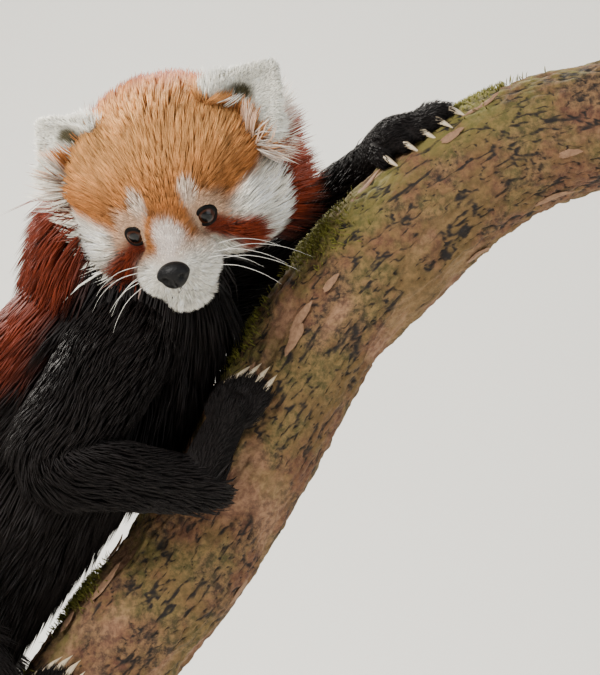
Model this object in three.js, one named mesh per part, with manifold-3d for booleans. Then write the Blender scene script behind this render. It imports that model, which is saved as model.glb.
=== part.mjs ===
// A life-size red panda that climbs a leaning branch and looks round over its right shoulder, on a plain stand.
// Millimetres, +Z up. The origin is the centre of the base's underside. -Y is the side that the face looks to,
// and the branch leans up towards +X.
import * as THREE from "three";
import { mergeVertices } from "three/addons/utils/BufferGeometryUtils.js";
import Module from "manifold-3d";

const wasm = await Module();
wasm.setup();

const vec = (x, y, z) => new THREE.Vector3(x, y, z);

// Driving dimensions
const GAP = 0.3;
const BRANCH_RADIUS = 39;
const BASE_SIZE = { long: 470, wide: 350, high: 22, corner: 70 };
const ROD_RADIUS = 9;
const ROD_SOCKET = 45;
const EYE_RADIUS = 8.2;
const CLAW = { length: 15, radius: 2.3 };
const SEED = 7;

// Colours from the coat, the bark and the stand
const COLOURS = {
  red: 0x8a3b16,
  black: 0x14100e,
  tan: 0xb98247,
  white: 0xe9e2d2,
  eye: 0x0b0706,
  nose: 0x0d0b0b,
  bark: 0x6b5a34,
  stand: 0x8d8a84,
  rod: 0xb8b8ba,
};

// A repeatable random number from -1 to 1
function scatter(seed) {
  let state = seed >>> 0;
  return () => {
    state = (Math.imul(state, 1664525) + 1013904223) >>> 0;
    return state / 2147483648 - 1;
  };
}

// A smooth value from a list that is spread evenly over t = 0 to 1
function profile(values, t) {
  if (!Array.isArray(values)) return values;
  const line = new THREE.SplineCurve(values.map((v, i) => new THREE.Vector2(i, v)));
  return line.getPoint(THREE.MathUtils.clamp(t, 0, 1)).y;
}

// Solids: a geometry becomes one closed solid, and lists of them are joined or cut
function solid(geometry) {
  const bare = geometry.clone();
  bare.deleteAttribute("normal");
  bare.deleteAttribute("uv");
  const merged = mergeVertices(bare, 1e-3);
  const corners = merged.index.array;
  const kept = [];
  for (let i = 0; i < corners.length; i += 3) {
    const [a, b, c] = [corners[i], corners[i + 1], corners[i + 2]];
    if (a !== b && b !== c && c !== a) kept.push(a, b, c);
  }
  const build = (list) =>
    new wasm.Manifold(
      new wasm.Mesh({
        numProp: 3,
        vertProperties: new Float32Array(merged.attributes.position.array),
        triVerts: new Uint32Array(list),
      }),
    );
  const made = build(kept);
  if (made.volume() > 0) return made;
  for (let i = 0; i < kept.length; i += 3) [kept[i], kept[i + 1]] = [kept[i + 1], kept[i]];
  return build(kept);
}

const join = (solids) => wasm.Manifold.union(solids.flat(3));
const cut = (whole, ...cutters) => wasm.Manifold.difference([whole, ...cutters.flat(3)]);

// The largest closed piece of a solid, with slivers tidied away
function largest(whole, tolerance = 0.02) {
  const pieces = whole.simplify(tolerance).decompose();
  return pieces.reduce((a, b) => (b.volume() > a.volume() ? b : a));
}

// The half of space ahead of a plane, as a large box that starts half a gap before the point
function ahead(point, direction, gap = GAP, size = 600) {
  const box = new THREE.BoxGeometry(size, size, size).translate(0, 0, size / 2 - gap / 2);
  const turn = new THREE.Quaternion().setFromUnitVectors(vec(0, 0, 1), direction.clone().normalize());
  return solid(box.applyQuaternion(turn).translate(point.x, point.y, point.z));
}

// A frame along a curve: tangent, sideways direction and outward direction
function frameAt(curve, t, sideways) {
  const centre = curve.getPointAt(THREE.MathUtils.clamp(t, 0, 1));
  const tangent = curve.getTangentAt(THREE.MathUtils.clamp(t, 0, 1)).normalize();
  const side = sideways.clone().addScaledVector(tangent, -sideways.dot(tangent)).normalize();
  const out = vec(0, 0, 0).crossVectors(side, tangent);
  return { centre, tangent, side, out };
}

// A round-ended body of elliptical section along a smooth curve
function sweep({ points, wide, deep = wide, sideways = vec(0, 1, 0), sides = 16, rings = 12, caps = 3, grow = 0 }) {
  const curve = new THREE.CatmullRomCurve3(points, false, "centripetal");
  const geometry = new THREE.CapsuleGeometry(1, 1, caps, sides, rings);
  const place = geometry.attributes.position;
  for (let i = 0; i < place.count; i += 1) {
    const y = place.getY(i);
    const t = THREE.MathUtils.clamp(y + 0.5, 0, 1);
    const beyond = y > 0.5 ? y - 0.5 : Math.min(0, y + 0.5);
    const { centre, tangent, side, out } = frameAt(curve, t, sideways);
    const halfWide = profile(wide, t) + grow;
    const halfDeep = profile(deep, t) + grow;
    centre
      .addScaledVector(side, place.getX(i) * halfWide)
      .addScaledVector(out, place.getZ(i) * halfDeep)
      .addScaledVector(tangent, beyond * Math.min(halfWide, halfDeep));
    place.setXYZ(i, centre.x, centre.y, centre.z);
  }
  return solid(geometry);
}

// A flat tapered lock of hair. It leaves the skin at `root`, runs `along`, and its tip stands `rise` out.
function lock({ root, along, out, length, width, thick, rise, sink = 5, grow = 0 }) {
  const geometry = new THREE.ConeGeometry(1, 1, 3, 3);
  const place = geometry.attributes.position;
  const across = vec(0, 0, 0).crossVectors(along, out).normalize();
  const wider = [0.62, 1, 0.72, 0];
  const thicker = [0.9, 1, 0.65, 0];
  for (let i = 0; i < place.count; i += 1) {
    const h = THREE.MathUtils.clamp(place.getY(i) + 0.5, 0, 1);
    const ring = Math.round(h * 3);
    const round = Math.max(1 - h, 1e-6);
    const lift = rise * (1 - (1 - h) ** 2) - sink * (1 - h) ** 2;
    const p = root
      .clone()
      .addScaledVector(along, length * h)
      .addScaledVector(out, lift + (place.getZ(i) / round) * thicker[ring] * (thick / 2 + grow))
      .addScaledVector(across, (place.getX(i) / round) * wider[ring] * (width / 2 + grow));
    place.setXYZ(i, p.x, p.y, p.z);
  }
  return solid(geometry);
}

// Rows of locks over a sweep, from t = from to t = to, each row shifted half a lock from the last
function rowsOfLocks({ points, wide, deep, sideways = vec(0, 1, 0), from, to, rows, perRow, arc, middle, size, rise, clear }) {
  const curve = new THREE.CatmullRomCurve3(points, false, "centripetal");
  const random = scatter(SEED + rows * 31 + perRow);
  const made = [];
  for (let row = 0; row < rows; row += 1) {
    const t = from + ((to - from) * row) / Math.max(rows - 1, 1);
    for (let k = 0; k < perRow; k += 1) {
      const share = (k + 0.5 + (row % 2 ? 0.5 : 0)) / perRow;
      const angle = middle + arc * (share - 0.5) + random() * 0.07;
      const { centre, tangent, side, out } = frameAt(curve, t + random() * 0.006, sideways);
      const halfWide = profile(wide, t);
      const halfDeep = profile(deep ?? wide, t);
      const [s, c] = [Math.sin(angle), Math.cos(angle)];
      const root = centre.addScaledVector(side, s * halfWide).addScaledVector(out, c * halfDeep);
      const outward = side
        .clone()
        .multiplyScalar(s / halfWide)
        .addScaledVector(out, c / halfDeep)
        .normalize();
      const along = tangent.clone().addScaledVector(side, random() * 0.12).normalize();
      along.addScaledVector(outward, -along.dot(outward)).normalize();
      if (clear && clear(root)) continue;
      made.push(
        lock({
          root,
          along,
          out: outward,
          length: size.length * (1 + 0.14 * random()),
          width: size.width,
          thick: size.thick,
          rise: rise * (1 + 0.15 * random()),
        }),
      );
    }
  }
  return made;
}

// The branch: a limb that leans to +X and arches over at the top
const branchLine = [
  vec(-37, 0, 287),
  vec(-34, 0, 312),
  vec(-28, 0, 356),
  vec(-17, 0, 396),
  vec(2, 0, 441),
  vec(36, 0, 492),
  vec(75, 0, 543),
  vec(116, 0, 611),
  vec(142, 0, 655),
  vec(167, 0, 697),
  vec(206, 0, 741),
  vec(240, 0, 774),
  vec(294, 0, 806),
  vec(335, 0, 817),
  vec(368, 0, 825),
];
const branchCurve = new THREE.CatmullRomCurve3(branchLine, false, "centripetal");
const branchWide = [40, 39, 38, 39, 40, 40, 39, 41, 42, 40, 39];

function branchSolid(grow) {
  const rod = sweep({ points: branchLine, wide: branchWide, sides: 13, rings: 18, caps: 1, grow });
  const [start, end] = [frameAt(branchCurve, 0, vec(0, 1, 0)), frameAt(branchCurve, 1, vec(0, 1, 0))];
  return cut(rod, ahead(end.centre, end.tangent, -2 * grow), ahead(start.centre, start.tangent.negate(), -2 * grow));
}

// A point over the bark: t along the branch, turn round it (0 faces the belly, + is towards -Y), height above it
function onBranch(t, turn, height) {
  const { centre, out } = frameAt(branchCurve, t, vec(0, 1, 0));
  const uphill = out.x < 0 ? out : out.clone().negate();
  const radius = BRANCH_RADIUS + height;
  return centre.addScaledVector(uphill, Math.cos(turn) * radius).addScaledVector(vec(0, -1, 0), Math.sin(turn) * radius);
}

// The body under its coat
const trunkLine = [
  vec(43, 2, 716),
  vec(25, 0, 677),
  vec(-17, 0, 617),
  vec(-56, 0, 560),
  vec(-95, 0, 499),
  vec(-122, 0, 440),
  vec(-133, 0, 400),
];
const trunk = {
  points: trunkLine,
  wide: [44, 50, 52, 54, 55, 52, 40],
  deep: [53, 61, 59, 57, 54, 51, 38],
};
const neck = {
  points: [vec(34, 2, 700), vec(42, 0, 724), vec(50, -3, 747), vec(59, -8, 763)],
  wide: [46, 49, 50, 46],
  deep: [50, 54, 54, 46],
};
const tail = {
  points: [
    vec(-132, 0, 412),
    vec(-152, -2, 372),
    vec(-172, -5, 330),
    vec(-184, -10, 280),
    vec(-185, -16, 226),
    vec(-174, -22, 174),
    vec(-150, -26, 132),
    vec(-122, -28, 104),
  ],
  wide: [22, 27, 31, 33, 34, 33, 30, 20],
};

// The head, in its own frame: +X to its left, -Y ahead, +Z up, with the origin between and behind the eyes
const HEAD_AT = vec(72.5, -50, 770.5);
const HEAD_TURN = { pitch: 26, yaw: -11, roll: -16 };
const deg = THREE.MathUtils.degToRad;
const headMatrix = new THREE.Matrix4()
  .makeTranslation(HEAD_AT.x, HEAD_AT.y, HEAD_AT.z)
  .multiply(new THREE.Matrix4().makeRotationY(deg(HEAD_TURN.roll)))
  .multiply(new THREE.Matrix4().makeRotationZ(deg(HEAD_TURN.yaw)))
  .multiply(new THREE.Matrix4().makeRotationX(deg(HEAD_TURN.pitch)));
const onHead = (x, y, z) => vec(x, y, z).applyMatrix4(headMatrix);
const headDirection = (x, y, z) => vec(x, y, z).transformDirection(headMatrix);

const headForms = [
  { at: vec(0, 14, 14), half: vec(56, 54, 51) },
  { at: vec(30, 2, -13), half: vec(26, 36, 26) },
  { at: vec(-30, 2, -13), half: vec(26, 36, 26) },
  { at: vec(0, -34, 2), half: vec(18, 26, 15) },
  { at: vec(0, -50, -18), half: vec(24, 25, 17) },
  { at: vec(11, -57, -21), half: vec(13, 16, 11) },
  { at: vec(-11, -57, -21), half: vec(13, 16, 11) },
  { at: vec(0, -66, -13), half: vec(14, 12, 10) },
  { at: vec(0, -49, -38), half: vec(15, 24, 9) },
  { at: vec(0, 30, -18), half: vec(44, 36, 34) },
];
const BLEND = 9;

// Distance to the head's smoothly blended forms
function headField(p) {
  let nearest = 1e3;
  for (const { at, half } of headForms) {
    const q = p.clone().sub(at);
    const k0 = q.clone().divide(half).length();
    const k1 = q.clone().divide(half).divide(half).length() || 1e-6;
    const d = (k0 * (k0 - 1)) / k1;
    const h = Math.max(BLEND - Math.abs(nearest - d), 0) / BLEND;
    nearest = Math.min(nearest, d) - (h * h * BLEND) / 4;
  }
  return nearest;
}

// A sphere drawn in until it meets the head's forms. Its pole is at the nose, so its rings go round the muzzle.
function headShape(grow = 0) {
  const geometry = new THREE.SphereGeometry(1, 24, 18).rotateX(-Math.PI / 2);
  const place = geometry.attributes.position;
  for (let i = 0; i < place.count; i += 1) {
    const ray = vec(place.getX(i), place.getY(i), place.getZ(i)).normalize();
    const start = vec(0, -12, -6);
    let reach = 110;
    for (let step = 0; step < 60; step += 1) {
      const gap = headField(start.clone().addScaledVector(ray, reach)) - grow;
      if (gap < 0.01) break;
      reach -= gap * 0.7;
    }
    const p = start.addScaledVector(ray, reach).applyMatrix4(headMatrix);
    place.setXYZ(i, p.x, p.y, p.z);
  }
  return solid(geometry);
}

// An ellipsoid set in the head's frame, with its long way along `axis`
function headBall(at, half, grow = 0, detail = [12, 8]) {
  const geometry = new THREE.SphereGeometry(1, ...detail);
  geometry.scale(half.x + grow, half.y + grow, half.z + grow).translate(at.x, at.y, at.z);
  return solid(geometry.applyMatrix4(headMatrix));
}

const eyePlaces = { left: vec(21, -34, 0), right: vec(-21, -34, 0) };
const ears = {
  left: { base: vec(50, 22, 34), tip: vec(90, 25, 62), face: vec(0.18, -1, 0.1) },
  right: { base: vec(-46, 24, 35), tip: vec(-69, 28, 68), face: vec(-0.3, -1, 0.05) },
};
const EAR = { halfWidth: 27, halfDepth: 10, below: 0.2, reach: 0.82, point: 0.28 };

// An ear is a pointed shell with a cup in its front face
function earShape({ base, tip, face }, grow = 0) {
  const axis = tip.clone().sub(base);
  const length = axis.length();
  axis.normalize();
  const front = face.clone().addScaledVector(axis, -face.dot(axis)).normalize();
  const side = vec(0, 0, 0).crossVectors(front, axis);
  const leaf = (halfWidth, halfDepth, halfLength, forward, up, detail) => {
    const geometry = new THREE.SphereGeometry(1, ...detail);
    const place = geometry.attributes.position;
    for (let i = 0; i < place.count; i += 1) {
      const [x, y, z] = [place.getX(i), place.getY(i), place.getZ(i)];
      const narrow = 1 - EAR.point * Math.max(y, 0) ** 2;
      const p = base
        .clone()
        .addScaledVector(axis, length * up + y * (halfLength + grow))
        .addScaledVector(side, x * narrow * (halfWidth + grow))
        .addScaledVector(front, forward + z * (halfDepth + grow));
      p.applyMatrix4(headMatrix);
      place.setXYZ(i, p.x, p.y, p.z);
    }
    return solid(geometry);
  };
  const shell = leaf(EAR.halfWidth, EAR.halfDepth, length * EAR.reach, 0, EAR.below, [14, 8]);
  if (grow) return shell;
  return cut(shell, leaf(EAR.halfWidth - 6, 10, length * 0.66, 9, EAR.below + 0.02, [10, 6]));
}

// Legs: each from the body down to a foot on the branch
const legs = {
  fore_right: {
    points: [vec(44, -30, 690), vec(24, -58, 655), vec(-1, -72, 613), vec(34, -72, 604), onBranch(0.472, 1.2, 16)],
    wide: [30, 28, 25, 22, 19],
    deep: [33, 29, 24, 21, 17],
    bend: 0.44,
    foot: { at: [0.485, 1.18], to: [0.572, 1.02], spread: 0.22 },
  },
  fore_left: {
    points: [vec(56, 32, 700), vec(104, 52, 716), vec(146, 60, 738), vec(172, 52, 772), onBranch(0.772, -0.62, 15)],
    wide: [30, 27, 22, 20, 17],
    deep: [32, 27, 22, 20, 16],
    bend: 0.44,
    foot: { at: [0.79, -0.42], to: [0.815, 0.42], spread: 0.14 },
  },
  hind_right: {
    points: [vec(-112, -46, 452), vec(-88, -62, 474), vec(-60, -80, 486), vec(-56, -74, 430), onBranch(0.135, 1.15, 17)],
    wide: [38, 36, 28, 20, 18],
    deep: [42, 38, 28, 20, 16],
    bend: 0.44,
    foot: { at: [0.15, 1.2], to: [0.27, 1.05], spread: 0.22 },
  },
  hind_left: {
    points: [vec(-112, 46, 450), vec(-90, 62, 466), vec(-64, 80, 470), vec(-60, 72, 410), onBranch(0.1, -1.15, 17)],
    wide: [38, 36, 28, 20, 18],
    deep: [42, 38, 28, 20, 16],
    bend: 0.44,
    foot: { at: [0.115, -1.2], to: [0.235, -1.05], spread: -0.22 },
  },
};
const TOES = 5;
const PAW = { toeRadius: 7, palmHeight: 13 };

// One stretch of a leg, from t = from to t = to along its line
function legPart(leg, from, to, grow = 0) {
  const curve = new THREE.CatmullRomCurve3(leg.points, false, "centripetal");
  const steps = [0, 0.25, 0.5, 0.75, 1].map((share) => THREE.MathUtils.lerp(from, to, share));
  return sweep({
    points: steps.map((t) => curve.getPoint(t)),
    wide: steps.map((t) => profile(leg.wide, t)),
    deep: steps.map((t) => profile(leg.deep, t)),
    sides: 10,
    rings: 4,
    caps: 1,
    grow,
  });
}

// A foot lies on the bark: a palm from the wrist, five toes that fan out round the branch, and a claw on each
function footForms(leg, grow = 0) {
  const { at, to, spread } = leg.foot;
  const along = (s, fan, height) =>
    onBranch(
      THREE.MathUtils.lerp(at[0], to[0], s) + fan * (to[1] > at[1] + 0.5 ? 0.05 : 0.012),
      THREE.MathUtils.lerp(at[1], to[1], s) + fan * (to[1] > at[1] + 0.5 ? 0 : spread * 2.2),
      height,
    );
  const palm = sweep({
    points: [leg.points.at(-1), along(0.3, 0, PAW.palmHeight), along(0.66, 0, PAW.palmHeight - 2)],
    wide: [18, 21, 22],
    deep: [16, 14, 12],
    sideways: vec(0, 1, 0),
    sides: 8,
    rings: 3,
    caps: 1,
    grow,
  });
  const toes = [];
  const claws = [];
  for (let k = 0; k < TOES; k += 1) {
    const fan = k / (TOES - 1) - 0.5;
    const short = 1 - 1.1 * fan * fan;
    const knuckle = along(0.62, fan * 0.85, PAW.palmHeight - 3);
    const tip = along(0.62 + 0.36 * short, fan * 1.15, PAW.toeRadius);
    toes.push(sweep({ points: [knuckle, knuckle.clone().lerp(tip, 0.55), tip], wide: PAW.toeRadius, sides: 6, rings: 1, caps: 1, grow }));
    const way = along(0.62 + 0.36 * short + 0.3, fan * 1.3, 3).sub(tip).normalize();
    claws.push(clawShape(tip, way, along(0.9, fan, 60).sub(along(0.9, fan, 0)).normalize(), grow));
  }
  return { palm, toes, claws };
}

// A claw is a thin curved cone that leaves the top of the toe and hooks down to the bark
function clawShape(root, way, up, grow) {
  const geometry = new THREE.ConeGeometry(CLAW.radius + grow, 1, 4, 2);
  const place = geometry.attributes.position;
  const side = vec(0, 0, 0).crossVectors(way, up).normalize();
  for (let i = 0; i < place.count; i += 1) {
    const h = place.getY(i) + 0.5;
    const p = root
      .clone()
      .addScaledVector(way, 2 + h * (CLAW.length + grow))
      .addScaledVector(up, 3.2 - 3 * h * h + place.getZ(i))
      .addScaledVector(side, place.getX(i));
    place.setXYZ(i, p.x, p.y, p.z);
  }
  return solid(geometry);
}

// Locks of the long coat
const coat = {
  trunk: { length: 72, width: 50, thick: 5 },
  neck: { length: 48, width: 56, thick: 5 },
  tail: { length: 60, width: 42, thick: 5 },
  ruff: [32, 36, 52],
};

function trunkLocks() {
  return rowsOfLocks({
    ...trunk,
    from: 0.04,
    to: 0.97,
    rows: 7,
    perRow: 6,
    arc: 4.4,
    middle: Math.PI,
    size: coat.trunk,
    rise: 15,
  });
}

function tailLocks(from, to, rows) {
  return rowsOfLocks({ ...tail, from, to, rows, perRow: 5, arc: 2 * Math.PI, middle: 0, size: coat.tail, rise: 13 });
}

const neckLocks = () =>
  rowsOfLocks({
    points: [...neck.points].reverse(),
    wide: [...neck.wide].reverse(),
    deep: [...neck.deep].reverse(),
    from: 0.3,
    to: 0.75,
    rows: 2,
    perRow: 4,
    arc: 2 * Math.PI,
    middle: 0,
    size: coat.neck,
    rise: 12,
  });

// The cheek ruffs: rows of locks that fan out and back from the face on both sides
function cheekLocks(grow = 0) {
  const random = scatter(SEED);
  const made = [];
  const centre = vec(0, 6, -6);
  for (const flip of [1, -1]) {
    for (let row = 0; row < 3; row += 1) {
      const count = 4 + (row > 1 ? 1 : 0);
      for (let k = 0; k < count; k += 1) {
        const turn = deg(-62 + (96 * (k + (row % 2) * 0.5)) / count);
        const ray = vec(flip * Math.cos(turn), -0.42 + 0.52 * row, Math.sin(turn)).normalize();
        let reach = 90;
        for (let step = 0; step < 50; step += 1) {
          const gap = headField(centre.clone().addScaledVector(ray, reach));
          if (gap < 0.01) break;
          reach -= gap * 0.7;
        }
        const root = centre.clone().addScaledVector(ray, reach).applyMatrix4(headMatrix);
        const outward = headDirection(ray.x, ray.y * 0.4, ray.z);
        const along = headDirection(flip * 0.62, 0.72, Math.sin(turn) * 0.5 + 0.05 * random());
        along.addScaledVector(outward, -along.dot(outward)).normalize();
        const length = coat.ruff[row] * (1 + 0.12 * random());
        made.push(lock({ root, along, out: outward, length, width: 30, thick: 5, rise: 18 + 4 * row, grow }));
      }
    }
  }
  return made;
}

// The pieces, as solids
const branch = (() => {
  const low = frameAt(branchCurve, 0, vec(0, 1, 0)).centre;
  const hole = solid(
    new THREE.CylinderGeometry(ROD_RADIUS + GAP, ROD_RADIUS + GAP, 2 * ROD_SOCKET, 24)
      .rotateX(Math.PI / 2)
      .translate(low.x, low.y, low.z),
  );
  return largest(cut(branchSolid(0), hole));
})();
const branchGrown = branchSolid(GAP);

// The parts of a leg: its upper and lower stretch, and its foot
function legParts(leg, grow = 0) {
  return {
    upper: legPart(leg, 0, leg.bend, grow),
    lower: legPart(leg, leg.bend, 0.97, grow),
    foot: join(Object.values(footForms(leg, grow))),
  };
}

const legParted = Object.entries(legs).map(([name, leg]) => [name, legParts(leg), legParts(leg, GAP)]);
const legsGrown = legParted.flatMap(([, , grown]) => Object.values(grown));

const tailStart = frameAt(new THREE.CatmullRomCurve3(tail.points, false, "centripetal"), 0.09, vec(0, 1, 0));
const headCore = headShape();
const eyes = Object.entries(eyePlaces);
const lids = eyes.map(([, at]) =>
  solid(
    new THREE.TorusGeometry(EYE_RADIUS - 0.2, 2, 5, 12)
      .scale(1, 0.86, 1.2)
      .rotateX(Math.PI / 2)
      .rotateZ(deg(at.x > 0 ? 24 : -24))
      .translate(at.x + Math.sign(at.x) * 2.2, at.y - 4.6, at.z)
      .applyMatrix4(headMatrix),
  ),
);
const nosePad = (grow) => headBall(vec(0, -77, -13), vec(10.5, 7.5, 9.5), grow);
const mouthLine = [
  [vec(0, -78, -22), vec(0, -75, -28), vec(8, -71, -32), vec(15, -62, -33), vec(19, -52, -32)],
  [vec(0, -78, -22), vec(0, -75, -28), vec(-8, -71, -32), vec(-15, -62, -33), vec(-19, -52, -32)],
].map((points) =>
  sweep({ points: points.map((p) => p.applyMatrix4(headMatrix)), wide: 1.6, sides: 4, rings: 6, caps: 1 }),
);
const nostrils = [1, -1].map((flip) => headBall(vec(flip * 4.6, -84.3, -13.5), vec(2.6, 4, 1.8), 0, [6, 4]));

const nodes = {};
const earsGrown = Object.values(ears).map((ear) => earShape(ear, GAP));
const eyesGrown = eyes.map(([, at]) => headBall(at, vec(EYE_RADIUS, EYE_RADIUS, EYE_RADIUS), GAP));

const whole = join([headCore, lids, cheekLocks()]);
nodes.head = cut(whole, earsGrown, eyesGrown, nosePad(GAP), mouthLine);
const headGrown = [headShape(GAP), cheekLocks(3 * GAP)];
for (const [side, at] of eyes) {
  nodes[`eye_${side}`] = headBall(at, vec(EYE_RADIUS, EYE_RADIUS, EYE_RADIUS), 0, [12, 8]);
}
for (const [side, ear] of Object.entries(ears)) {
  nodes[`ear_${side}`] = cut(earShape(ear), ahead(onHead(0, 0, 24), headDirection(0, 0, -1)));
}
nodes.nose = cut(nosePad(0), nostrils);

const shoulderPlane = { at: vec(34, 0, 702), way: vec(0.5, -0.2, 0.84).normalize() };
const middlePlane = { at: vec(-38, 0, 588), way: vec(0.57, 0, 0.82).normalize() };
const front = (plane) => ahead(plane.at, plane.way);
const behind = (plane) => ahead(plane.at, plane.way.clone().negate());

// Neck, trunk and tail are modelled whole and parted with thin cuts
const tailPlane = { at: tailStart.centre, way: tailStart.tangent.clone().negate() };
const tailCurve = new THREE.CatmullRomCurve3(tail.points, false, "centripetal");
const tailCut = (t) => {
  const { centre, tangent } = frameAt(tailCurve, t, vec(0, 1, 0));
  return { at: centre, way: tangent.clone().negate() };
};
const tailCuts = [tailCut(0.36), tailCut(0.68)];
const neckCore = sweep({ ...neck, sides: 14, rings: 4 });
const trunkCore = sweep({ ...trunk, sides: 16, rings: 10 });
const tailCore = sweep({ ...tail, sides: 10, rings: 12 });
const rump = join([neckCore, trunkCore, neckLocks(), trunkLocks()]);
const clear = cut(rump, headGrown, nodes.head, earsGrown, legsGrown, branchGrown);
nodes.head = largest(nodes.head);
nodes.neck = cut(largest(cut(clear, behind(shoulderPlane))), nodes.head);
nodes.torso_front = cut(clear, front(shoulderPlane), behind(middlePlane));
nodes.torso_rear = cut(clear, front(middlePlane), behind(tailPlane));
const brush = join([tailCore, tailLocks(0.1, 0.96, 9)]);
nodes.tail_1 = cut(brush, front(tailPlane), behind(tailCuts[0]));
nodes.tail_2 = cut(brush, front(tailCuts[0]), behind(tailCuts[1]));
nodes.tail_3 = cut(brush, front(tailCuts[1]));

// Each leg has an upper and a lower piece and a foot, that meet at the elbow or knee and at the wrist or ankle
for (const [name, leg, grown] of legParted) {
  const [pair, side] = name.split("_");
  const names = pair === "fore" ? ["upper_arm", "forearm", "forepaw"] : ["thigh", "shin", "hindpaw"];
  nodes[`${names[0]}_${side}`] = cut(leg.upper, branchGrown);
  nodes[`${names[1]}_${side}`] = cut(leg.lower, grown.upper, branchGrown);
  nodes[`${names[2]}_${side}`] = cut(leg.foot, grown.upper, grown.lower, branchGrown);
}

// The stand: a flat base with round corners, and one rod up into the cut end of the branch
const outline = new THREE.Shape();
const [halfLong, halfWide, corner] = [BASE_SIZE.long / 2, BASE_SIZE.wide / 2, BASE_SIZE.corner];
for (const [x, y, start] of [
  [1, 1, 0],
  [-1, 1, 90],
  [-1, -1, 180],
  [1, -1, 270],
]) {
  outline.absarc(x * (halfLong - corner), y * (halfWide - corner), corner, deg(start), deg(start + 90), false);
}
const bottom = branchLine[0];
const rodShape = (grow) =>
  solid(
    new THREE.CylinderGeometry(ROD_RADIUS + grow, ROD_RADIUS + grow, bottom.z + ROD_SOCKET - GAP - 6, 24)
      .rotateX(Math.PI / 2)
      .translate(bottom.x, bottom.y, (bottom.z + ROD_SOCKET - GAP + 6) / 2),
  );
nodes.stand_base = cut(
  solid(new THREE.ExtrudeGeometry(outline, { depth: BASE_SIZE.high, bevelEnabled: false, curveSegments: 5 })),
  rodShape(GAP),
);
nodes.stand_rod = rodShape(0);
nodes.branch = branch;

// Colours for each node
const paint = (name) => {
  if (name.startsWith("eye")) return [COLOURS.eye, 0.08];
  if (name.startsWith("ear")) return [COLOURS.white, 0.9];
  if (name === "nose") return [COLOURS.nose, 0.35];
  if (name === "head") return [COLOURS.tan, 0.9];
  if (name === "branch") return [COLOURS.bark, 0.95];
  if (name === "stand_rod") return [COLOURS.rod, 0.3];
  if (name === "stand_base") return [COLOURS.stand, 0.6];
  if (/arm|thigh|shin|paw/.test(name)) return [COLOURS.black, 0.9];
  return [COLOURS.red, 0.9];
};

// A mesh from a solid, about its own centre, with the place on the mesh
function meshOf(name, made) {
  const piece = largest(made, name === "head" || name === "neck" ? 0 : 0.02);
  const { vertProperties, triVerts, numProp } = piece.getMesh();
  const place = new Float32Array((vertProperties.length / numProp) * 3);
  for (let i = 0; i < place.length / 3; i += 1) {
    place.set(vertProperties.subarray(i * numProp, i * numProp + 3), i * 3);
  }
  const geometry = new THREE.BufferGeometry()
    .setAttribute("position", new THREE.BufferAttribute(place, 3))
    .setIndex(new THREE.BufferAttribute(new Uint32Array(triVerts), 1));
  const [color, roughness] = paint(name);
  const metalness = name === "stand_rod" ? 1 : 0;
  const mesh = new THREE.Mesh(geometry, new THREE.MeshStandardMaterial({ color, roughness, metalness }));
  mesh.name = name;
  return mesh;
}

const redPanda = new THREE.Group();
redPanda.name = "red_panda";
for (const [name, made] of Object.entries(nodes)) redPanda.add(meshOf(name, made));

export default redPanda;
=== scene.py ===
# %% [markdown]
# # A red panda on a leaning branch
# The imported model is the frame: it says where the body, the branch and the stand are. This script puts a
# smooth skin, a coat of solid tufts, wet eyes, claws and bark over it. Lengths are in millimetres and become
# metres when a mesh is made. The backdrop, the lamps and what the materials read are in metres.

import math

import bmesh
import bpy
import numpy as np
from mathutils import Matrix, Vector, noise


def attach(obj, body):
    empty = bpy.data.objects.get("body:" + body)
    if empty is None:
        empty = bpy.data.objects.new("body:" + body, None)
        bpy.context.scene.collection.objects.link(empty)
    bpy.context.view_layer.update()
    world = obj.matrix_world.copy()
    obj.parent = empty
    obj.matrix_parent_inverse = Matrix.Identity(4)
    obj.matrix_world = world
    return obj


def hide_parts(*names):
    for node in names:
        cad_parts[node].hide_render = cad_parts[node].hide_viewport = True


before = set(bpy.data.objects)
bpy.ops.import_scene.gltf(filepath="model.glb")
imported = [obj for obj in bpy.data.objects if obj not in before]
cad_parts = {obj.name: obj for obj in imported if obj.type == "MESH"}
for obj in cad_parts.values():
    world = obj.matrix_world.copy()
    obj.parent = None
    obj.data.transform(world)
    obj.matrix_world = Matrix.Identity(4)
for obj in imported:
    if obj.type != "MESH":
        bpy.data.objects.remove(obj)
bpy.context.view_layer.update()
MM = 0.001
rng = np.random.default_rng(11)

# %% [markdown]
# ## Camera, floor and light
# The photo was taken level and from far off, so its lines hardly converge. A long lens 3 m away does the
# same. The stage is a pale floor that curves up into a wall, with four soft lamps: a strong one on the left,
# a weak one on the right, and two behind that draw a bright rim along the fur as the sky does in the photo.

# %% Camera
CAMERA_AT = (148.8, -3000.0, 685.75)
VIEW_HEIGHT = 418.5
SENSOR = 36.0
camera_data = bpy.data.cameras.new("camera")
camera = bpy.data.objects.new("camera", camera_data)
bpy.context.collection.objects.link(camera)
camera.location = [c * MM for c in CAMERA_AT]
camera.rotation_euler = (math.radians(90), 0, 0)
camera_data.sensor_width = SENSOR
camera_data.lens = SENSOR * -CAMERA_AT[1] / VIEW_HEIGHT
bpy.context.scene.camera = camera
print("lens in mm:", round(camera_data.lens, 1))


# %% Floor and wall in one curved sheet
def new_object(name, mesh):
    obj = bpy.data.objects.new(name, mesh)
    bpy.context.collection.objects.link(obj)
    return obj


def make_object(name, bm, finish=None, smooth_shaded=True):
    """Turn a bmesh into an object, with its faces outwards."""
    bmesh.ops.recalc_face_normals(bm, faces=bm.faces)
    mesh = bpy.data.meshes.new(name)
    bm.to_mesh(mesh)
    bm.free()
    mesh.polygons.foreach_set("use_smooth", [smooth_shaded] * len(mesh.polygons))
    if finish:
        mesh.materials.append(finish.material)
    return new_object(name, mesh)


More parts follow.
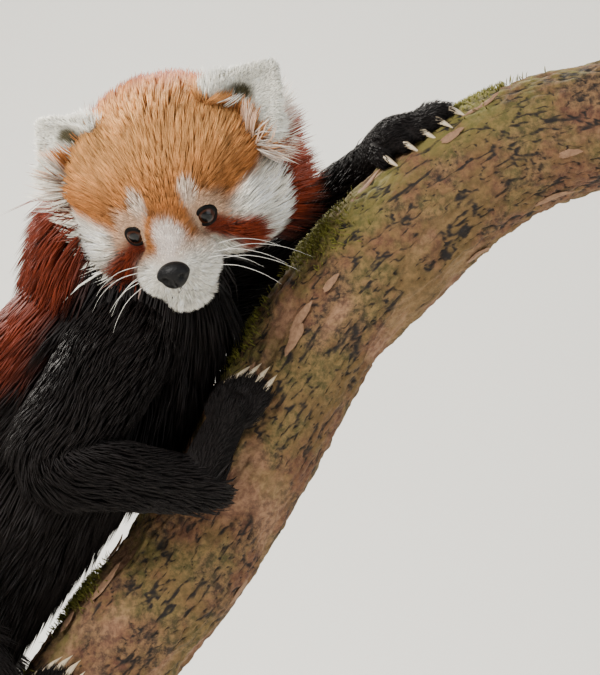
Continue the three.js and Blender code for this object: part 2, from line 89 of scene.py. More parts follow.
def of_kind(geometry, kind):
    return [g for g in geometry if isinstance(g, kind)]


def pull(bm, edges, way):
    """Extrude edges along a vector and return the new edges."""
    made = bmesh.ops.extrude_edge_only(bm, edges=edges)["geom"]
    bmesh.ops.translate(bm, vec=way, verts=of_kind(made, bmesh.types.BMVert))
    return of_kind(made, bmesh.types.BMEdge)


def backdrop():
    reach, wall, bend, height = 3.2, 1.7, 0.8, 3
    front = reach * 1.4
    sheet = bmesh.new()
    ends = [sheet.verts.new((x, -front, 0)) for x in (-reach, reach)]
    line = pull(sheet, [sheet.edges.new(ends)], (0, front + wall, 0))
    quarter = math.radians(90)
    turned = bmesh.ops.spin(sheet, geom=line, cent=(0, wall, bend), axis=(1, 0, 0), angle=quarter, steps=12)
    pull(sheet, of_kind(turned["geom_last"], bmesh.types.BMEdge), (0, 0, height))
    obj = make_object("backdrop", sheet)
    if max(obj.data.polygons, key=lambda face: face.area).normal.z < 0:
        obj.data.flip_normals()
    return obj


floor = backdrop()
print("backdrop faces:", len(floor.data.polygons))


# %% Lamps
HEART = (0.08, 0, 0.7)


def lamp(name, place, size, power, colour):
    data = bpy.data.lights.new(name, "AREA")
    data.size = size
    data.energy = power
    data.color = colour
    obj = bpy.data.objects.new(name, data)
    bpy.context.collection.objects.link(obj)
    obj.location = place
    way = Vector(HEART) - Vector(place)
    obj.rotation_euler = way.to_track_quat("-Z", "Y").to_euler()


lamp("key", (-1.3, -1.7, 2.1), 1.0, 104, (1.0, 0.97, 0.93))
lamp("fill", (1.9, -1.9, 1.1), 1.8, 24, (0.93, 0.97, 1.0))
lamp("rim_left", (-1.0, 1.25, 1.9), 0.8, 120, (1.0, 0.96, 0.88))
lamp("rim_right", (1.1, 1.2, 1.8), 0.8, 34, (1.0, 0.96, 0.88))
world = bpy.data.worlds.new("studio")
bpy.context.scene.world = world
world.use_nodes = True
background = world.node_tree.nodes["Background"]
background.inputs["Color"].default_value = (0.9, 0.93, 0.95, 1)
background.inputs["Strength"].default_value = 0.5

# %% [markdown]
# ## Shader maths as Python
# A material is a tree of nodes. Wrapping a socket in a small class lets an expression such as
# `1 - mask * 0.5` add the Math nodes by itself.


# %% A socket that can be added and multiplied
class Wire:
    def __init__(self, tree, socket):
        self.tree = tree
        self.socket = socket

    def maths(self, operation, a, b):
        return self.tree.add("ShaderNodeMath", {"operation": operation}, {0: a, 1: b})

    def __add__(self, other):
        return self.maths("ADD", self, other)

    def __radd__(self, other):
        return self.maths("ADD", other, self)

    def __sub__(self, other):
        return self.maths("SUBTRACT", self, other)

    def __rsub__(self, other):
        return self.maths("SUBTRACT", other, self)

    def __mul__(self, other):
        return self.maths("MULTIPLY", self, other)

    def __rmul__(self, other):
        return self.maths("MULTIPLY", other, self)

    def span(self, low, high):
        """0 below low, 1 above high, smooth between."""
        values = {"Value": self, "From Min": low, "From Max": high}
        return self.tree.add("ShaderNodeMapRange", {"interpolation_type": "SMOOTHSTEP"}, values)


class Finish:
    """A material, with one method that adds any node."""

    def __init__(self, name):
        self.material = bpy.data.materials.new(name)
        self.material.use_nodes = True
        self.nodes = self.material.node_tree.nodes
        self.links = self.material.node_tree.links
        self.shader = self.nodes["Principled BSDF"]

    def add(self, kind, settings=None, values=None, output=0):
        node = self.nodes.new(kind)
        for key, value in (settings or {}).items():
            setattr(node, key, value)
        for key, value in (values or {}).items():
            self.plug(node.inputs[key], value)
        return Wire(self, node.outputs[output])

    def plug(self, socket, value):
        if isinstance(value, Wire):
            self.links.new(value.socket, socket)
            return
        is_colour = np.size(value) == 3 and len(socket.default_value) == 4
        socket.default_value = (*value, 1) if is_colour else value

    def set(self, **values):
        for name, value in values.items():
            self.plug(self.shader.inputs[name.replace("_", " ")], value)

    def place(self):
        return self.add("ShaderNodeTexCoord", output="Object")

    def noise(self, scale, detail=4, rough=0.55, where=None):
        values = {"Vector": where or self.place(), "Scale": scale, "Detail": detail, "Roughness": rough}
        return self.add("ShaderNodeTexNoise", None, values)

    def mix(self, amount, a, b):
        node = self.nodes.new("ShaderNodeMix")
        node.data_type = "RGBA"
        self.plug(node.inputs[0], amount)
        self.plug(node.inputs[6], a)
        self.plug(node.inputs[7], b)
        return Wire(self, node.outputs[2])

    def bump(self, height, strength, depth):
        values = {"Height": height, "Strength": strength, "Distance": depth}
        self.set(Normal=self.add("ShaderNodeBump", None, values))


def srgb(*rgb):
    """Display colour, 0 to 255, as the linear colour that shaders take."""
    c = np.array(rgb, float) / 255
    return np.where(c <= 0.04045, c / 12.92, ((c + 0.055) / 1.055) ** 2.4)


pale = Finish("pale_floor")
pale.set(Base_Color=srgb(236, 234, 228), Roughness=0.85)
floor.data.materials.append(pale.material)

# %% From behind the sheet is clear, so that it hides nothing from a camera there
solid = Wire(pale, pale.shader.outputs["BSDF"])
clear = pale.add("ShaderNodeBsdfTransparent")
behind = pale.add("ShaderNodeNewGeometry", output="Backfacing")
seen = pale.add("ShaderNodeMixShader", None, {0: behind, 1: solid, 2: clear})
pale.plug(pale.nodes["Material Output"].inputs["Surface"], seen)

# %% [markdown]
# ## The lines that the body is built on
# A limb or a trunk is round in section and bends along its length. It is enough to say where its middle
# runs and how thick it is at a few places. The same lines tell later which way the hair lies.


# %% Curves and profiles
CURVE_SAMPLES = 240
SOFTEN_WINDOW = 31


def catmull(points):
    """Even samples on a centripetal curve through the points."""
    p = np.array(points, float)
    p = np.vstack([2 * p[0] - p[1], p, 2 * p[-1] - p[-2]])
    dense = []
    for i in range(len(p) - 3):
        a, b, c, d = p[i : i + 4]
        t0 = 0
        t1 = t0 + np.linalg.norm(b - a) ** 0.5
        t2 = t1 + np.linalg.norm(c - b) ** 0.5
        t3 = t2 + np.linalg.norm(d - c) ** 0.5
        t = np.linspace(t1, t2, 40, endpoint=False)[:, None]
        e = (t1 - t) / (t1 - t0) * a + (t - t0) / (t1 - t0) * b
        f = (t2 - t) / (t2 - t1) * b + (t - t1) / (t2 - t1) * c
        g = (t3 - t) / (t3 - t2) * c + (t - t2) / (t3 - t2) * d
        h = (t2 - t) / (t2 - t0) * e + (t - t0) / (t2 - t0) * f
        k = (t3 - t) / (t3 - t1) * f + (t - t1) / (t3 - t1) * g
        dense.append((t2 - t) / (t2 - t1) * h + (t - t1) / (t2 - t1) * k)
    dense = np.vstack([*dense, p[-2]])
    run = np.concatenate([[0], np.cumsum(np.linalg.norm(np.diff(dense, axis=0), axis=1))])
    even = np.linspace(0, run[-1], CURVE_SAMPLES)
    return np.stack([np.interp(even, run, dense[:, k]) for k in range(3)], axis=1)


def unit(v):
    return v / np.maximum(np.linalg.norm(v, axis=-1, keepdims=True), 1e-9)


def smooth(low, high, x):
    t = np.clip((x - low) / (high - low), 0, 1)
    return t * t * (3 - 2 * t)


class Limb:
    """A bent round form: a middle line, and half widths across (towards +Y) and deep."""

    def __init__(self, points, wide, deep=None):
        self.line = catmull(points)
        self.tangent = unit(np.gradient(self.line, axis=0))
        self.length = np.linalg.norm(np.diff(self.line, axis=0), axis=1).sum()
        deep = deep or wide
        spots = np.linspace(0, 1, len(self.line))
        self.wide = np.interp(spots, np.linspace(0, 1, len(wide)), wide)
        self.deep = np.interp(spots, np.linspace(0, 1, len(deep)), deep)
        soften = np.ones(SOFTEN_WINDOW) / SOFTEN_WINDOW
        for half in (self.wide, self.deep):
            padded = np.pad(half, SOFTEN_WINDOW // 2, mode="edge")
            half[:] = np.convolve(padded, soften, mode="valid")
        side = np.array([0.0, 1.0, 0.0])
        self.side = unit(side - self.tangent * (self.tangent @ side)[:, None])
        self.out = np.cross(self.side, self.tangent)

    def at(self, t):
        """Middle, tangent, side, out and half widths at t from 0 to 1."""
        k = np.clip(t, 0, 1) * (len(self.line) - 1)
        low = np.minimum(k.astype(int), len(self.line) - 2)
        part = (k - low)[:, None]

        def between(values):
            return values[low] * (1 - part) + values[low + 1] * part

        half = between(np.stack([self.wide, self.deep], axis=1))
        return between(self.line), between(self.tangent), between(self.side), between(self.out), half


# %% The branch and the places on its bark
BRANCH_RADIUS = 39
branch_line = [
    *((-37, 0, 287), (-34, 0, 312), (-28, 0, 356), (-17, 0, 396), (2, 0, 441)),
    *((36, 0, 492), (75, 0, 543), (116, 0, 611), (142, 0, 655), (167, 0, 697)),
    *((206, 0, 741), (240, 0, 774), (294, 0, 806), (335, 0, 817), (368, 0, 825)),
]
branch = Limb(branch_line, [40, 39, 38, 39, 40, 40, 39, 41, 42, 40, 39])


def on_branch(t, turn, height):
    """t along the branch, turn round it from the belly side towards the camera, height above the bark."""
    middle, _, _, out, _ = branch.at(np.array([t]))
    uphill = out[0] if out[0][0] < 0 else -out[0]
    reach = BRANCH_RADIUS + height
    toward = np.array([0, -1, 0])
    return tuple(middle[0] + uphill * math.cos(turn) * reach + toward * math.sin(turn) * reach)


print("branch length in mm:", round(branch.length))

# %% The trunk, neck and tail
trunk_line = [
    *((43, 2, 716), (25, 0, 677), (-17, 0, 617), (-56, 0, 560)),
    *((-95, 0, 499), (-122, 0, 440), (-133, 0, 400)),
]
neck_line = [(34, 2, 700), (42, 0, 724), (50, -3, 747), (59, -8, 763)]
tail_line = [
    *((-132, 0, 412), (-152, -2, 372), (-172, -5, 330), (-184, -10, 280)),
    *((-185, -16, 226), (-174, -22, 174), (-150, -26, 132), (-122, -28, 104)),
]
body = {
    "trunk": Limb(trunk_line, [43, 49, 51, 53, 54, 51, 39], [51, 58, 57, 55, 53, 50, 37]),
    "neck": Limb(neck_line, [45, 48, 49, 45], [47, 51, 51, 44]),
    "tail": Limb(tail_line, [21, 25, 28, 30, 31, 30, 27, 17]),
}

# %% The legs: points from the body on, then the wrist or heel and the foot as places on the bark
legs = {
    "fore_right": {
        "points": [(44, -30, 690), (24, -58, 655), (-1, -72, 613), (34, -72, 604)],
        "wrist": (0.472, 1.2, 16),
        "wide": [28, 26, 23, 20, 17],
        "deep": [31, 27, 22, 19, 15],
        "foot": ((0.485, 1.18), (0.572, 1.02), 0.22),
    },
    "fore_left": {
        "points": [(56, 32, 700), (104, 52, 716), (146, 60, 738), (172, 52, 772)],
        "wrist": (0.772, -0.62, 15),
        "wide": [28, 25, 20, 18, 15],
        "deep": [30, 25, 20, 18, 14],
        "foot": ((0.79, -0.42), (0.815, 0.42), 0.14),
    },
    "hind_right": {
        "points": [(-112, -46, 452), (-88, -62, 474), (-60, -80, 486), (-56, -74, 430)],
        "wrist": (0.135, 1.15, 17),
        "wide": [36, 34, 26, 18, 16],
        "deep": [40, 36, 26, 18, 14],
        "foot": ((0.15, 1.2), (0.27, 1.05), 0.22),
    },
    "hind_left": {
        "points": [(-112, 46, 450), (-90, 62, 466), (-64, 80, 470), (-60, 72, 410)],
        "wrist": (0.1, -1.15, 17),
        "wide": [36, 34, 26, 18, 16],
        "deep": [40, 36, 26, 18, 14],
        "foot": ((0.115, -1.2), (0.235, -1.05), -0.22),
    },
}
for name, leg in legs.items():
    body[name] = Limb([*leg["points"], on_branch(*leg["wrist"])], leg["wide"], leg["deep"])
    print(name, "length in mm:", round(body[name].length))


# %% [markdown]
# ## The feet
# A red panda's foot is a thick pad with five short toes. The toes fan out over the bark and each ends in a
# curved, pale claw that can be drawn partly in.


# %% Toes and claws as places on the bark
TOES = 5


def foot_lines(leg):
    (t0, turn0), (t1, turn1), spread = leg["foot"]
    round_branch = turn1 > turn0 + 0.5

    def along(share, fan, height):
        t = t0 + (t1 - t0) * share + fan * (0.05 if round_branch else 0.012)
        turn = turn0 + (turn1 - turn0) * share + fan * (0 if round_branch else spread * 2.2)
        return np.array(on_branch(t, turn, height))

    palm = Limb([on_branch(*leg["wrist"]), along(0.3, 0, 11), along(0.66, 0, 9)], [16, 19, 19], [14, 12, 10])
    toes = []
    claws = []
    for k in range(TOES):
        fan = k / (TOES - 1) - 0.5
        short = 1 - 1.1 * fan * fan
        knuckle = along(0.62, fan * 0.85, 9)
        tip = along(0.62 + 0.36 * short, fan * 1.15, 6)
        toes.append(Limb([knuckle, knuckle * 0.45 + tip * 0.55 + [0, 0, 0.5], tip], [6.5, 6.6, 5.6]))
        way = unit(along(0.62 + 0.36 * short + 0.3, fan * 1.3, 2) - tip)
        up = unit(along(0.9, fan, 60) - along(0.9, fan, 0))
        claws.append((tip, way, up))
    return palm, toes, claws


feet = {name: foot_lines(leg) for name, leg in legs.items()}

# %% [markdown]
# ## The head
# The head has its own frame, turned as the animal looks round: x to its left, y back, z to the crown. Its
# form is a sum of ellipsoids for skull, cheeks, bridge, muzzle, chin, brows and eye mounds that melt into
# one another, found by drawing the points of a fine ball inwards until they touch that sum.


# %% The head's frame and its forms
def turn_matrix(axis, degrees):
    return np.array(Matrix.Rotation(math.radians(degrees), 3, axis))


HEAD_AT = np.array([72.5, -50, 770.5])
HEAD_TURN = turn_matrix("Y", -16) @ turn_matrix("Z", -11) @ turn_matrix("X", 26)


def from_head(p):
    return np.asarray(p, float) @ HEAD_TURN.T + HEAD_AT


def to_head(p):
    return (np.asarray(p, float) - HEAD_AT) @ HEAD_TURN


head_forms = [
    ((0, 14, 13), (51, 51, 46)),
    ((29, 2, -13), (25, 34, 25)),
    ((-29, 2, -13), (25, 34, 25)),
    ((0, -33, 1), (16.5, 26, 13.5)),
    ((0, -50, -18), (22, 23, 15)),
    ((10.5, -57, -21), (12, 14.5, 9.5)),
    ((-10.5, -57, -21), (12, 14.5, 9.5)),
    ((0, -66, -12), (11.5, 11, 8.5)),
    ((0, -49, -37), (13.5, 22.5, 7.5)),
    ((0, 30, -18), (42, 34, 32)),
    ((19, -25, 13), (11, 12, 9)),
    ((-19, -25, 13), (11, 12, 9)),
    ((20, -25, -2), (13, 13, 12)),
    ((-20, -25, -2), (13, 13, 12)),
]
BLEND = 8.0
STEPS_IN = 60


def head_field(p):
    """Rough distance in mm from points in the head's frame to its surface, negative inside."""
    nearest = np.full(len(p), 1e3)
    for at, half in head_forms:
        q = p - np.array(at)
        half = np.array(half)
        k0 = np.linalg.norm(q / half, axis=1)
        k1 = np.maximum(np.linalg.norm(q / half**2, axis=1), 1e-6)
        d = k0 * (k0 - 1) / k1
        h = np.maximum(BLEND - np.abs(nearest - d), 0) / BLEND
        nearest = np.minimum(nearest, d) - h * h * BLEND / 4
    return nearest


def onto_head(inner, ray, far, outward=0.0):
    """Come in along rays from far off until they touch the head, and stop that far outside it."""
    reach = np.full(len(ray), float(far))
    for _ in range(STEPS_IN):
        reach -= np.maximum(head_field(inner + ray * reach[:, None]), 0) * 0.7
    return inner + ray * (reach + outward)[:, None]


EYES = {"left": np.array([21.0, -32.6, 0.0]), "right": np.array([-21.0, -32.6, 0.0])}
EYE_RADIUS = 7.8
EARS = {
    "left": {"base": (48, 9, 36), "tip": (89, 17, 64), "face": (0.1, -1, 0.1)},
    "right": {"base": (-45, 12, 37), "tip": (-68, 22, 69), "face": (-0.24, -1, 0.05)},
}


class Ear:
    """A pointed leaf with a cup in its front face, in the head's frame."""

    def __init__(self, base, tip, face):
        self.base = np.array(base, float)
        self.axis = np.array(tip, float) - self.base
        self.length = np.linalg.norm(self.axis)
        self.axis /= self.length
        face = np.array(face, float)
        self.front = unit(face - self.axis * (face @ self.axis))
        self.side = np.cross(self.front, self.axis)

    def place(self, x, y, z):
        """x across, y towards the tip and z to the front, all in mm from the base."""
        return self.base + np.outer(x, self.side) + np.outer(y, self.axis) + np.outer(z, self.front)

    def read(self, p):
        q = p - self.base
        return q @ self.side, q @ self.axis, q @ self.front


ears = {side: Ear(**places) for side, places in EARS.items()}

# %% [markdown]
# ## One skin
# Trunk, neck, tail, legs, feet, head and ears start as balls that are pulled onto their lines. A voxel
# remesh melts them into one closed skin, and a few rounds of smoothing take the steps away. The skin lies
# under the coat, so it is thinner than the animal looks.


# %% Balls pulled onto lines
def add_ball(bm, shape, segments, rings):
    made = bmesh.ops.create_uvsphere(bm, u_segments=segments, v_segments=rings, radius=1)["verts"]
    places = shape(np.array([v.co for v in made]))
    for v, place in zip(made, places):
        v.co = Vector(place * MM)


def along_limb(limb):
    def shape(p):
        share = np.arccos(np.clip(p[:, 2], -1, 1)) / np.pi
        half = np.minimum(limb.wide.mean(), limb.deep.mean())
        cap = half / limb.length
        t = -cap + share * (1 + 2 * cap)
        middle, tangent, side, out, size = limb.at(t)
        beyond = np.where(t < 0, t, np.where(t > 1, t - 1, 0)) * limb.length
        shrink = np.sqrt(np.clip(1 - (beyond / half) ** 2, 0, 1))
        angle = np.arctan2(p[:, 1], p[:, 0])
        across = side * (np.cos(angle) * size[:, 0] * shrink)[:, None]
        deep = out * (np.sin(angle) * size[:, 1] * shrink)[:, None]
        return middle + tangent * beyond[:, None] + across + deep

    return shape


def head_shape(p):
    return from_head(onto_head(np.array([0.0, -12, -6]), unit(p), 110))


def ear_shape(ear):
    def shape(p):
        x, y, z = p.T
        narrow = 1 - 0.56 * np.maximum(y, 0) ** 1.6
        width = 24.5 * x * narrow
        up = ear.length * 0.2 + y * ear.length * 0.71
        cup = 9.5 * np.clip(1 - (x / 0.86) ** 2 - (y / 0.9) ** 2, 0, 1) ** 0.6
        lean = 3.5 * x * x
        front = z * 6.5 - np.where(z > 0, cup, cup * 0.55) + lean + 2
        return from_head(ear.place(width, up, front))

    return shape


# %% The skin, remeshed and smoothed
SKIN_VOXEL = 2.4
SMOOTH_ROUNDS = 4


def build_skin():
    bm = bmesh.new()
    for limb in body.values():
        add_ball(bm, along_limb(limb), 32, 40)
    for palm, toes, _ in feet.values():
        add_ball(bm, along_limb(palm), 20, 16)
        for toe in toes:
            add_ball(bm, along_limb(toe), 14, 12)
    add_ball(bm, head_shape, 96, 72)
    for ear in ears.values():
        add_ball(bm, ear_shape(ear), 48, 40)
    obj = make_object("skin", bm, smooth_shaded=False)
    melt = obj.modifiers.new("melt", "REMESH")
    melt.mode = "VOXEL"
    melt.voxel_size = SKIN_VOXEL * MM
    soft = obj.modifiers.new("soft", "SMOOTH")
    soft.factor = 0.5
    soft.iterations = SMOOTH_ROUNDS
    graph = bpy.context.evaluated_depsgraph_get()
    final = bpy.data.meshes.new_from_object(obj.evaluated_get(graph))
    obj.modifiers.clear()
    obj.data = final
    final.polygons.foreach_set("use_smooth", [True] * len(final.polygons))
    return obj


skin = build_skin()
print("skin faces:", len(skin.data.polygons))

# %% [markdown]
# ## What each place on the skin is
# Hair length, lie and colour all depend on where a point is. Each point is given to the nearest form, with
# how far along that form it is, and the head's points are also read in the head's own frame.


# %% Give every point of the skin to a form
PART_NAMES = [*body, "head", "ear_left", "ear_right", *("foot_" + name for name in feet)]
PARTS = {name: k for k, name in enumerate(PART_NAMES)}


def nearest_on(limb, p):
    """For each point: t along the limb, angle round it, how many half widths away, and the limb's way."""
    step = 4
    line = limb.line[::step]
    best = np.full(len(p), 1e9)
    index = np.zeros(len(p), int)
    for k, spot in enumerate(line):
        d = ((p - spot) ** 2).sum(axis=1)
        closer = d < best
        best[closer] = d[closer]
        index[closer] = k
    index = np.minimum(index * step, len(limb.line) - 1)
    offset = p - limb.line[index]
    x = (offset * limb.side[index]).sum(axis=1)
    z = (offset * limb.out[index]).sum(axis=1)
    away = np.sqrt((x / limb.wide[index]) ** 2 + (z / limb.deep[index]) ** 2)
    away = np.maximum(away, np.sqrt(best) / np.maximum(limb.wide[index], limb.deep[index]))
    return index / (len(limb.line) - 1), np.arctan2(z, x), away, limb.tangent[index]


def read_places(p):
    """Part, t, angle, lie of the hair and place in the head's frame, for points in mm."""
    count = len(p)
    part = np.zeros(count, int)
    t = np.zeros(count)
    angle = np.zeros(count)
    lie = np.zeros((count, 3))
    best = np.full(count, 1e9)
    forms = {name: [limb] for name, limb in body.items()}
    for name, (palm, toes, _) in feet.items():
        forms["foot_" + name] = [palm, *toes]
    for name, limbs in forms.items():
        for limb in limbs:
            t_here, angle_here, away, tangent = nearest_on(limb, p)
            if name == "neck":
                tangent = -tangent
            closer = away < best
            best[closer] = away[closer]
            part[closer] = PARTS[name]
            t[closer] = t_here[closer]
            angle[closer] = angle_here[closer]
            lie[closer] = tangent[closer]
    local = to_head(p)
    field = 1 + head_field(local) / 45
    closer = field < best + 0.06
    part[closer] = PARTS["head"]
    nose = np.array([0.0, -84, -6])
    flow = unit(local - nose)
    flow[:, 2] += 0.25 * smooth(0, 30, local[:, 2])
    lie[closer] = (flow @ HEAD_TURN.T)[closer]
    t[closer] = smooth(0, 150, np.linalg.norm(local - nose, axis=1))[closer]
    angle[closer] = np.arctan2(local[:, 0], local[:, 2])[closer]
    for side, ear in ears.items():
        x, y, z = ear.read(local)
        inside = (y > 0) & (np.abs(x) < 30) & (np.abs(z - 1) < 17) & (y < ear.length * 1.15)
        inside &= head_field(local) > 1.2
        part[inside] = PARTS["ear_" + side]
        t[inside] = np.clip(y / ear.length, 0, 1)[inside]
        angle[inside] = np.arctan2(z - 2, x)[inside]
        lie[inside] = (np.array([ear.axis]) @ HEAD_TURN.T)[0]
    return part, t, angle, lie, local


def read_vertices(mesh, key):
    values = np.empty(len(mesh.vertices) * 3)
    mesh.vertices.foreach_get(key, values)
    return values.reshape(-1, 3)


skin_points = read_vertices(skin.data, "co") / MM
skin_normals = read_vertices(skin.data, "normal")
part, t_along, _, _, local = read_places(skin_points)
print("points given to each part:", dict(zip(PARTS, np.bincount(part, minlength=len(PARTS)).tolist())))

# %% [markdown]
# ## The markings
# The colours are a function of place, so that the skin and the hair on it agree: a golden tan forehead,
# white brows, muzzle and cheeks, a red-brown stripe from each eye to the mouth, white ears with an olive
# patch, a red back, black legs and belly, and rings on the tail. The belly's black reaches high up the
# flanks, where it is painted shade.

# %% Colours of the coat
COAT = {
    "forehead": srgb(176, 112, 58),
    "gold": srgb(220, 168, 106),
    "crown": srgb(146, 70, 24),
    "white": srgb(250, 244, 230),
    "stripe": srgb(116, 40, 12),
    "bridge": srgb(234, 218, 206),
    "pale_ring": srgb(214, 184, 156),
    "ruff": srgb(122, 42, 14),
    "back": srgb(108, 38, 15),
    "black": srgb(15, 10, 9),
    "ear": srgb(250, 246, 232),
    "ear_patch": srgb(72, 66, 44),
    "buff": srgb(182, 128, 78),
    "ring": srgb(112, 44, 20),
}


TAIL_RINGS = 6.5


def wobble(p, scale, seed):
    """A smooth random value from -1 to 1 that varies over about `scale` mm."""
    k = np.random.default_rng(seed).normal(size=(6, 3)) * 1.6 / scale
    phase = np.random.default_rng(seed + 1).uniform(0, 6.28, 6)
    return np.sin(p @ k.T + phase).sum(axis=1) / 3.2


def blob(p, at, half):
    """1 in the middle of an ellipsoid, 0.5 at its edge, 0 well outside."""
    d = np.linalg.norm((p - np.array(at)) / np.array(half), axis=1)
    return 1 - smooth(0.72, 1.28, d)


def stroke(p, a, b, radius):
    """The same for a round-ended stroke from a to b."""
    a, b = np.array(a, float), np.array(b, float)
    h = np.clip((p - a) @ (b - a) / ((b - a) @ (b - a)), 0, 1)
    d = np.linalg.norm(p - a - np.outer(h, b - a), axis=1) / radius
    return 1 - smooth(0.72, 1.28, d)


def paint(base, mask, colour):
    return base * (1 - mask[:, None]) + colour * mask[:, None]


def face_colours(q):
    p = q + np.stack([wobble(q, 9, k) for k in (3, 5, 7)], axis=1) * 1.6
    p[:, 0] = np.abs(p[:, 0])
    wide, back, up = p.T
    edge = 2 + 0.16 * (wide - 36)
    from_eye = np.linalg.norm(p - [21, -36, 0], axis=1)
    layers = [
        (smooth(30, -6, back) * smooth(8, 40, up) * 0.55, "gold"),
        (smooth(-6, 30, back) * smooth(14, 40, up), "crown"),
        (smooth(-8, -20, up), "white"),
        (smooth(14, 36, back), "ruff"),
        (smooth(0, 14, back) * smooth(34, 44, wide) * smooth(30, 14, up), "ruff"),
        (smooth(31, 40, wide) * smooth(edge + 5, edge - 5, up) * smooth(9, -6, back), "white"),
        (blob(p, (58, 18, 18), (16, 15, 9)) * 0.9, "white"),
        (blob(p, (14.5, -40, 15), (5, 15, 6.5)) * 0.55, "white"),
        (blob(p, (0, -64, -23), (30, 35, 18)), "white"),
        (blob(p, (0, -58, 1), (9, 22, 11)), "bridge"),
        ((1 - smooth(11, 17, from_eye)) * 0.7, "pale_ring"),
        (blob(p, (0, -42, -44), (27, 36, 12)), "white"),
        (stroke(p, (26, -40, -9), (36, -34, -22), 8.5), "stripe"),
        (stroke(p, (36, -34, -22), (38, -24, -40), 9.5), "stripe"),
        (smooth(-30, -10, back) * smooth(-28, -38, up), "black"),
    ]
    tone = np.tile(COAT["forehead"], (len(p), 1))
    for mask, colour in layers:
        tone = paint(tone, mask, COAT[colour])
    return tone


def coat_colours(p, part, t, local):
    tone = np.tile(COAT["back"], (len(p), 1))
    face = part == PARTS["head"]
    tone[face] = face_colours(local[face])
    for side, ear in ears.items():
        here = part == PARTS["ear_" + side]
        x, y, z = ear.read(local[here])
        shade = np.tile(COAT["ear"], (here.sum(), 1))
        inner = 4 if side == "left" else -4
        patch = 1 - smooth(0.4, 1.3, np.hypot((x - inner) / 7.5, (y - 0.26 * ear.length) / 10))
        shade = paint(shade, patch * smooth(-6.5, -3, z), COAT["ear_patch"])
        behind = smooth(-5, -9, z)
        shade = paint(shade, behind * smooth(0.6, 0.3, y / ear.length), COAT["ruff"])
        tone[here] = shade
    trunk = (part == PARTS["trunk"]) | (part == PARTS["neck"])
    middle, _, _, out, _ = body["trunk"].at(nearest_on(body["trunk"], p[trunk])[0])
    belly = ((p[trunk] - middle) * unit(out)).sum(axis=1) / 50
    sign = -1 if body["trunk"].out[CURVE_SAMPLES // 2][0] < 0 else 1
    # The belly's black is the animal's own; higher up the flanks, up to the red of the back, it is painted
    # shade.
    belly_black_and_shade = smooth(-0.86, -0.42, belly * sign + 0.12 * wobble(p[trunk], 26, 9))
    tone[trunk] = paint(tone[trunk], belly_black_and_shade, COAT["black"])
    for name in legs:
        tone[(part == PARTS[name]) | (part == PARTS["foot_" + name])] = COAT["black"]
    here = part == PARTS["tail"]
    rings = np.sin(t[here] * np.pi * 2 * TAIL_RINGS + 0.6 + 0.5 * wobble(p[here], 18, 13))
    tone[here] = paint(np.tile(COAT["ring"], (here.sum(), 1)), smooth(0.1, 0.55, rings), COAT["buff"])
    tip = smooth(0.93, 0.99, t[here])
    tone[here] = paint(tone[here], tip, COAT["black"])
    return tone


def set_colours(mesh, values):
    layer = mesh.color_attributes.new("coat", "FLOAT_COLOR", "POINT")
    opaque = np.column_stack([values, np.ones(len(values))])
    layer.data.foreach_set("color", opaque.astype(np.float32).ravel())


skin_tone = coat_colours(skin_points, part, t_along, local)
# Painted shade: the skin takes the coat's colours darkened to 55 percent, so the gaps between tufts look
# deep.
set_colours(skin.data, skin_tone * 0.55)

# %% [markdown]
# ## The finish of hair and hide
# Hair has a slight gloss. The skin under it is matt, and its colour is darkened as painted shade, so that the
# gaps between tufts read as depth.


# %% Hair and skin materials
def coat_finish(name, roughness, grain):
    finish = Finish(name)
    tone = finish.add("ShaderNodeVertexColor", {"layer_name": "coat"})
    fine = finish.noise(grain, 3)
    speckled = finish.mix(fine.span(0.35, 0.75) * 0.22, tone, (0.02, 0.012, 0.01))
    finish.set(Base_Color=speckled, Roughness=roughness, Specular_IOR_Level=0.2)
    return finish


hair = coat_finish("hair", 0.62, 900)
hide = coat_finish("hide", 0.85, 1400)
hide.bump(hide.noise(1500, 3), 0.5, 0.0006)
skin.data.materials.append(hide.material)

# %% [markdown]
# ## The coat
# Each tuft is a thin three-sided spike that leaves the skin at an angle and bends over along the lie. There
# are far too many to model one by one, so their corners are worked out as arrays and joined as one mesh for
# each stretch of the body. Neighbouring tips are drawn together a little, as real hair clings in locks.


# %% Roots spread evenly over chosen parts
skin.data.calc_loop_triangles()
triangles = np.empty(len(skin.data.loop_triangles) * 3, int)
skin.data.loop_triangles.foreach_get("vertices", triangles)
triangles = triangles.reshape(-1, 3)
corner = skin_points[triangles]
tri_area = np.linalg.norm(np.cross(corner[:, 1] - corner[:, 0], corner[:, 2] - corner[:, 0]), axis=1) / 2
tri_middle = corner.mean(axis=1)
tri_part = part[triangles[:, 0]]
tri_local = local[triangles[:, 0]]
print("skin area in cm2:", round(tri_area.sum() / 100))


def roots_on(chosen, count, weight=None):
    area = np.where(chosen, tri_area, 0) * (1 if weight is None else weight)
    total = np.cumsum(area)
    draw = (np.arange(count) + rng.random(count)) / count * total[-1]
    pick = np.searchsorted(total, draw)
    a, b = rng.random((2, count))
    flip = a + b > 1
    a, b = np.where(flip, 1 - a, a), np.where(flip, 1 - b, b)
    share = np.stack([1 - a - b, a, b], axis=1)
    at = (corner[pick] * share[:, :, None]).sum(axis=1)
    normal = unit((skin_normals[triangles[pick]] * share[:, :, None]).sum(axis=1))
    return at, normal


# %% An unwrap of the skin's own shape: each part has a tile, with its length across and its girth up
TILE_COLUMNS = 4


def unwrap(part_here, t_here, angle_here):
    rows = math.ceil(len(PARTS) / TILE_COLUMNS)
    column = part_here % TILE_COLUMNS
    row = part_here // TILE_COLUMNS
    u = (column + 0.04 + 0.92 * t_here) / TILE_COLUMNS
    v = (row + 0.04 + 0.92 * (angle_here + np.pi) / (2 * np.pi)) / rows
    return np.stack([u, v], axis=1)


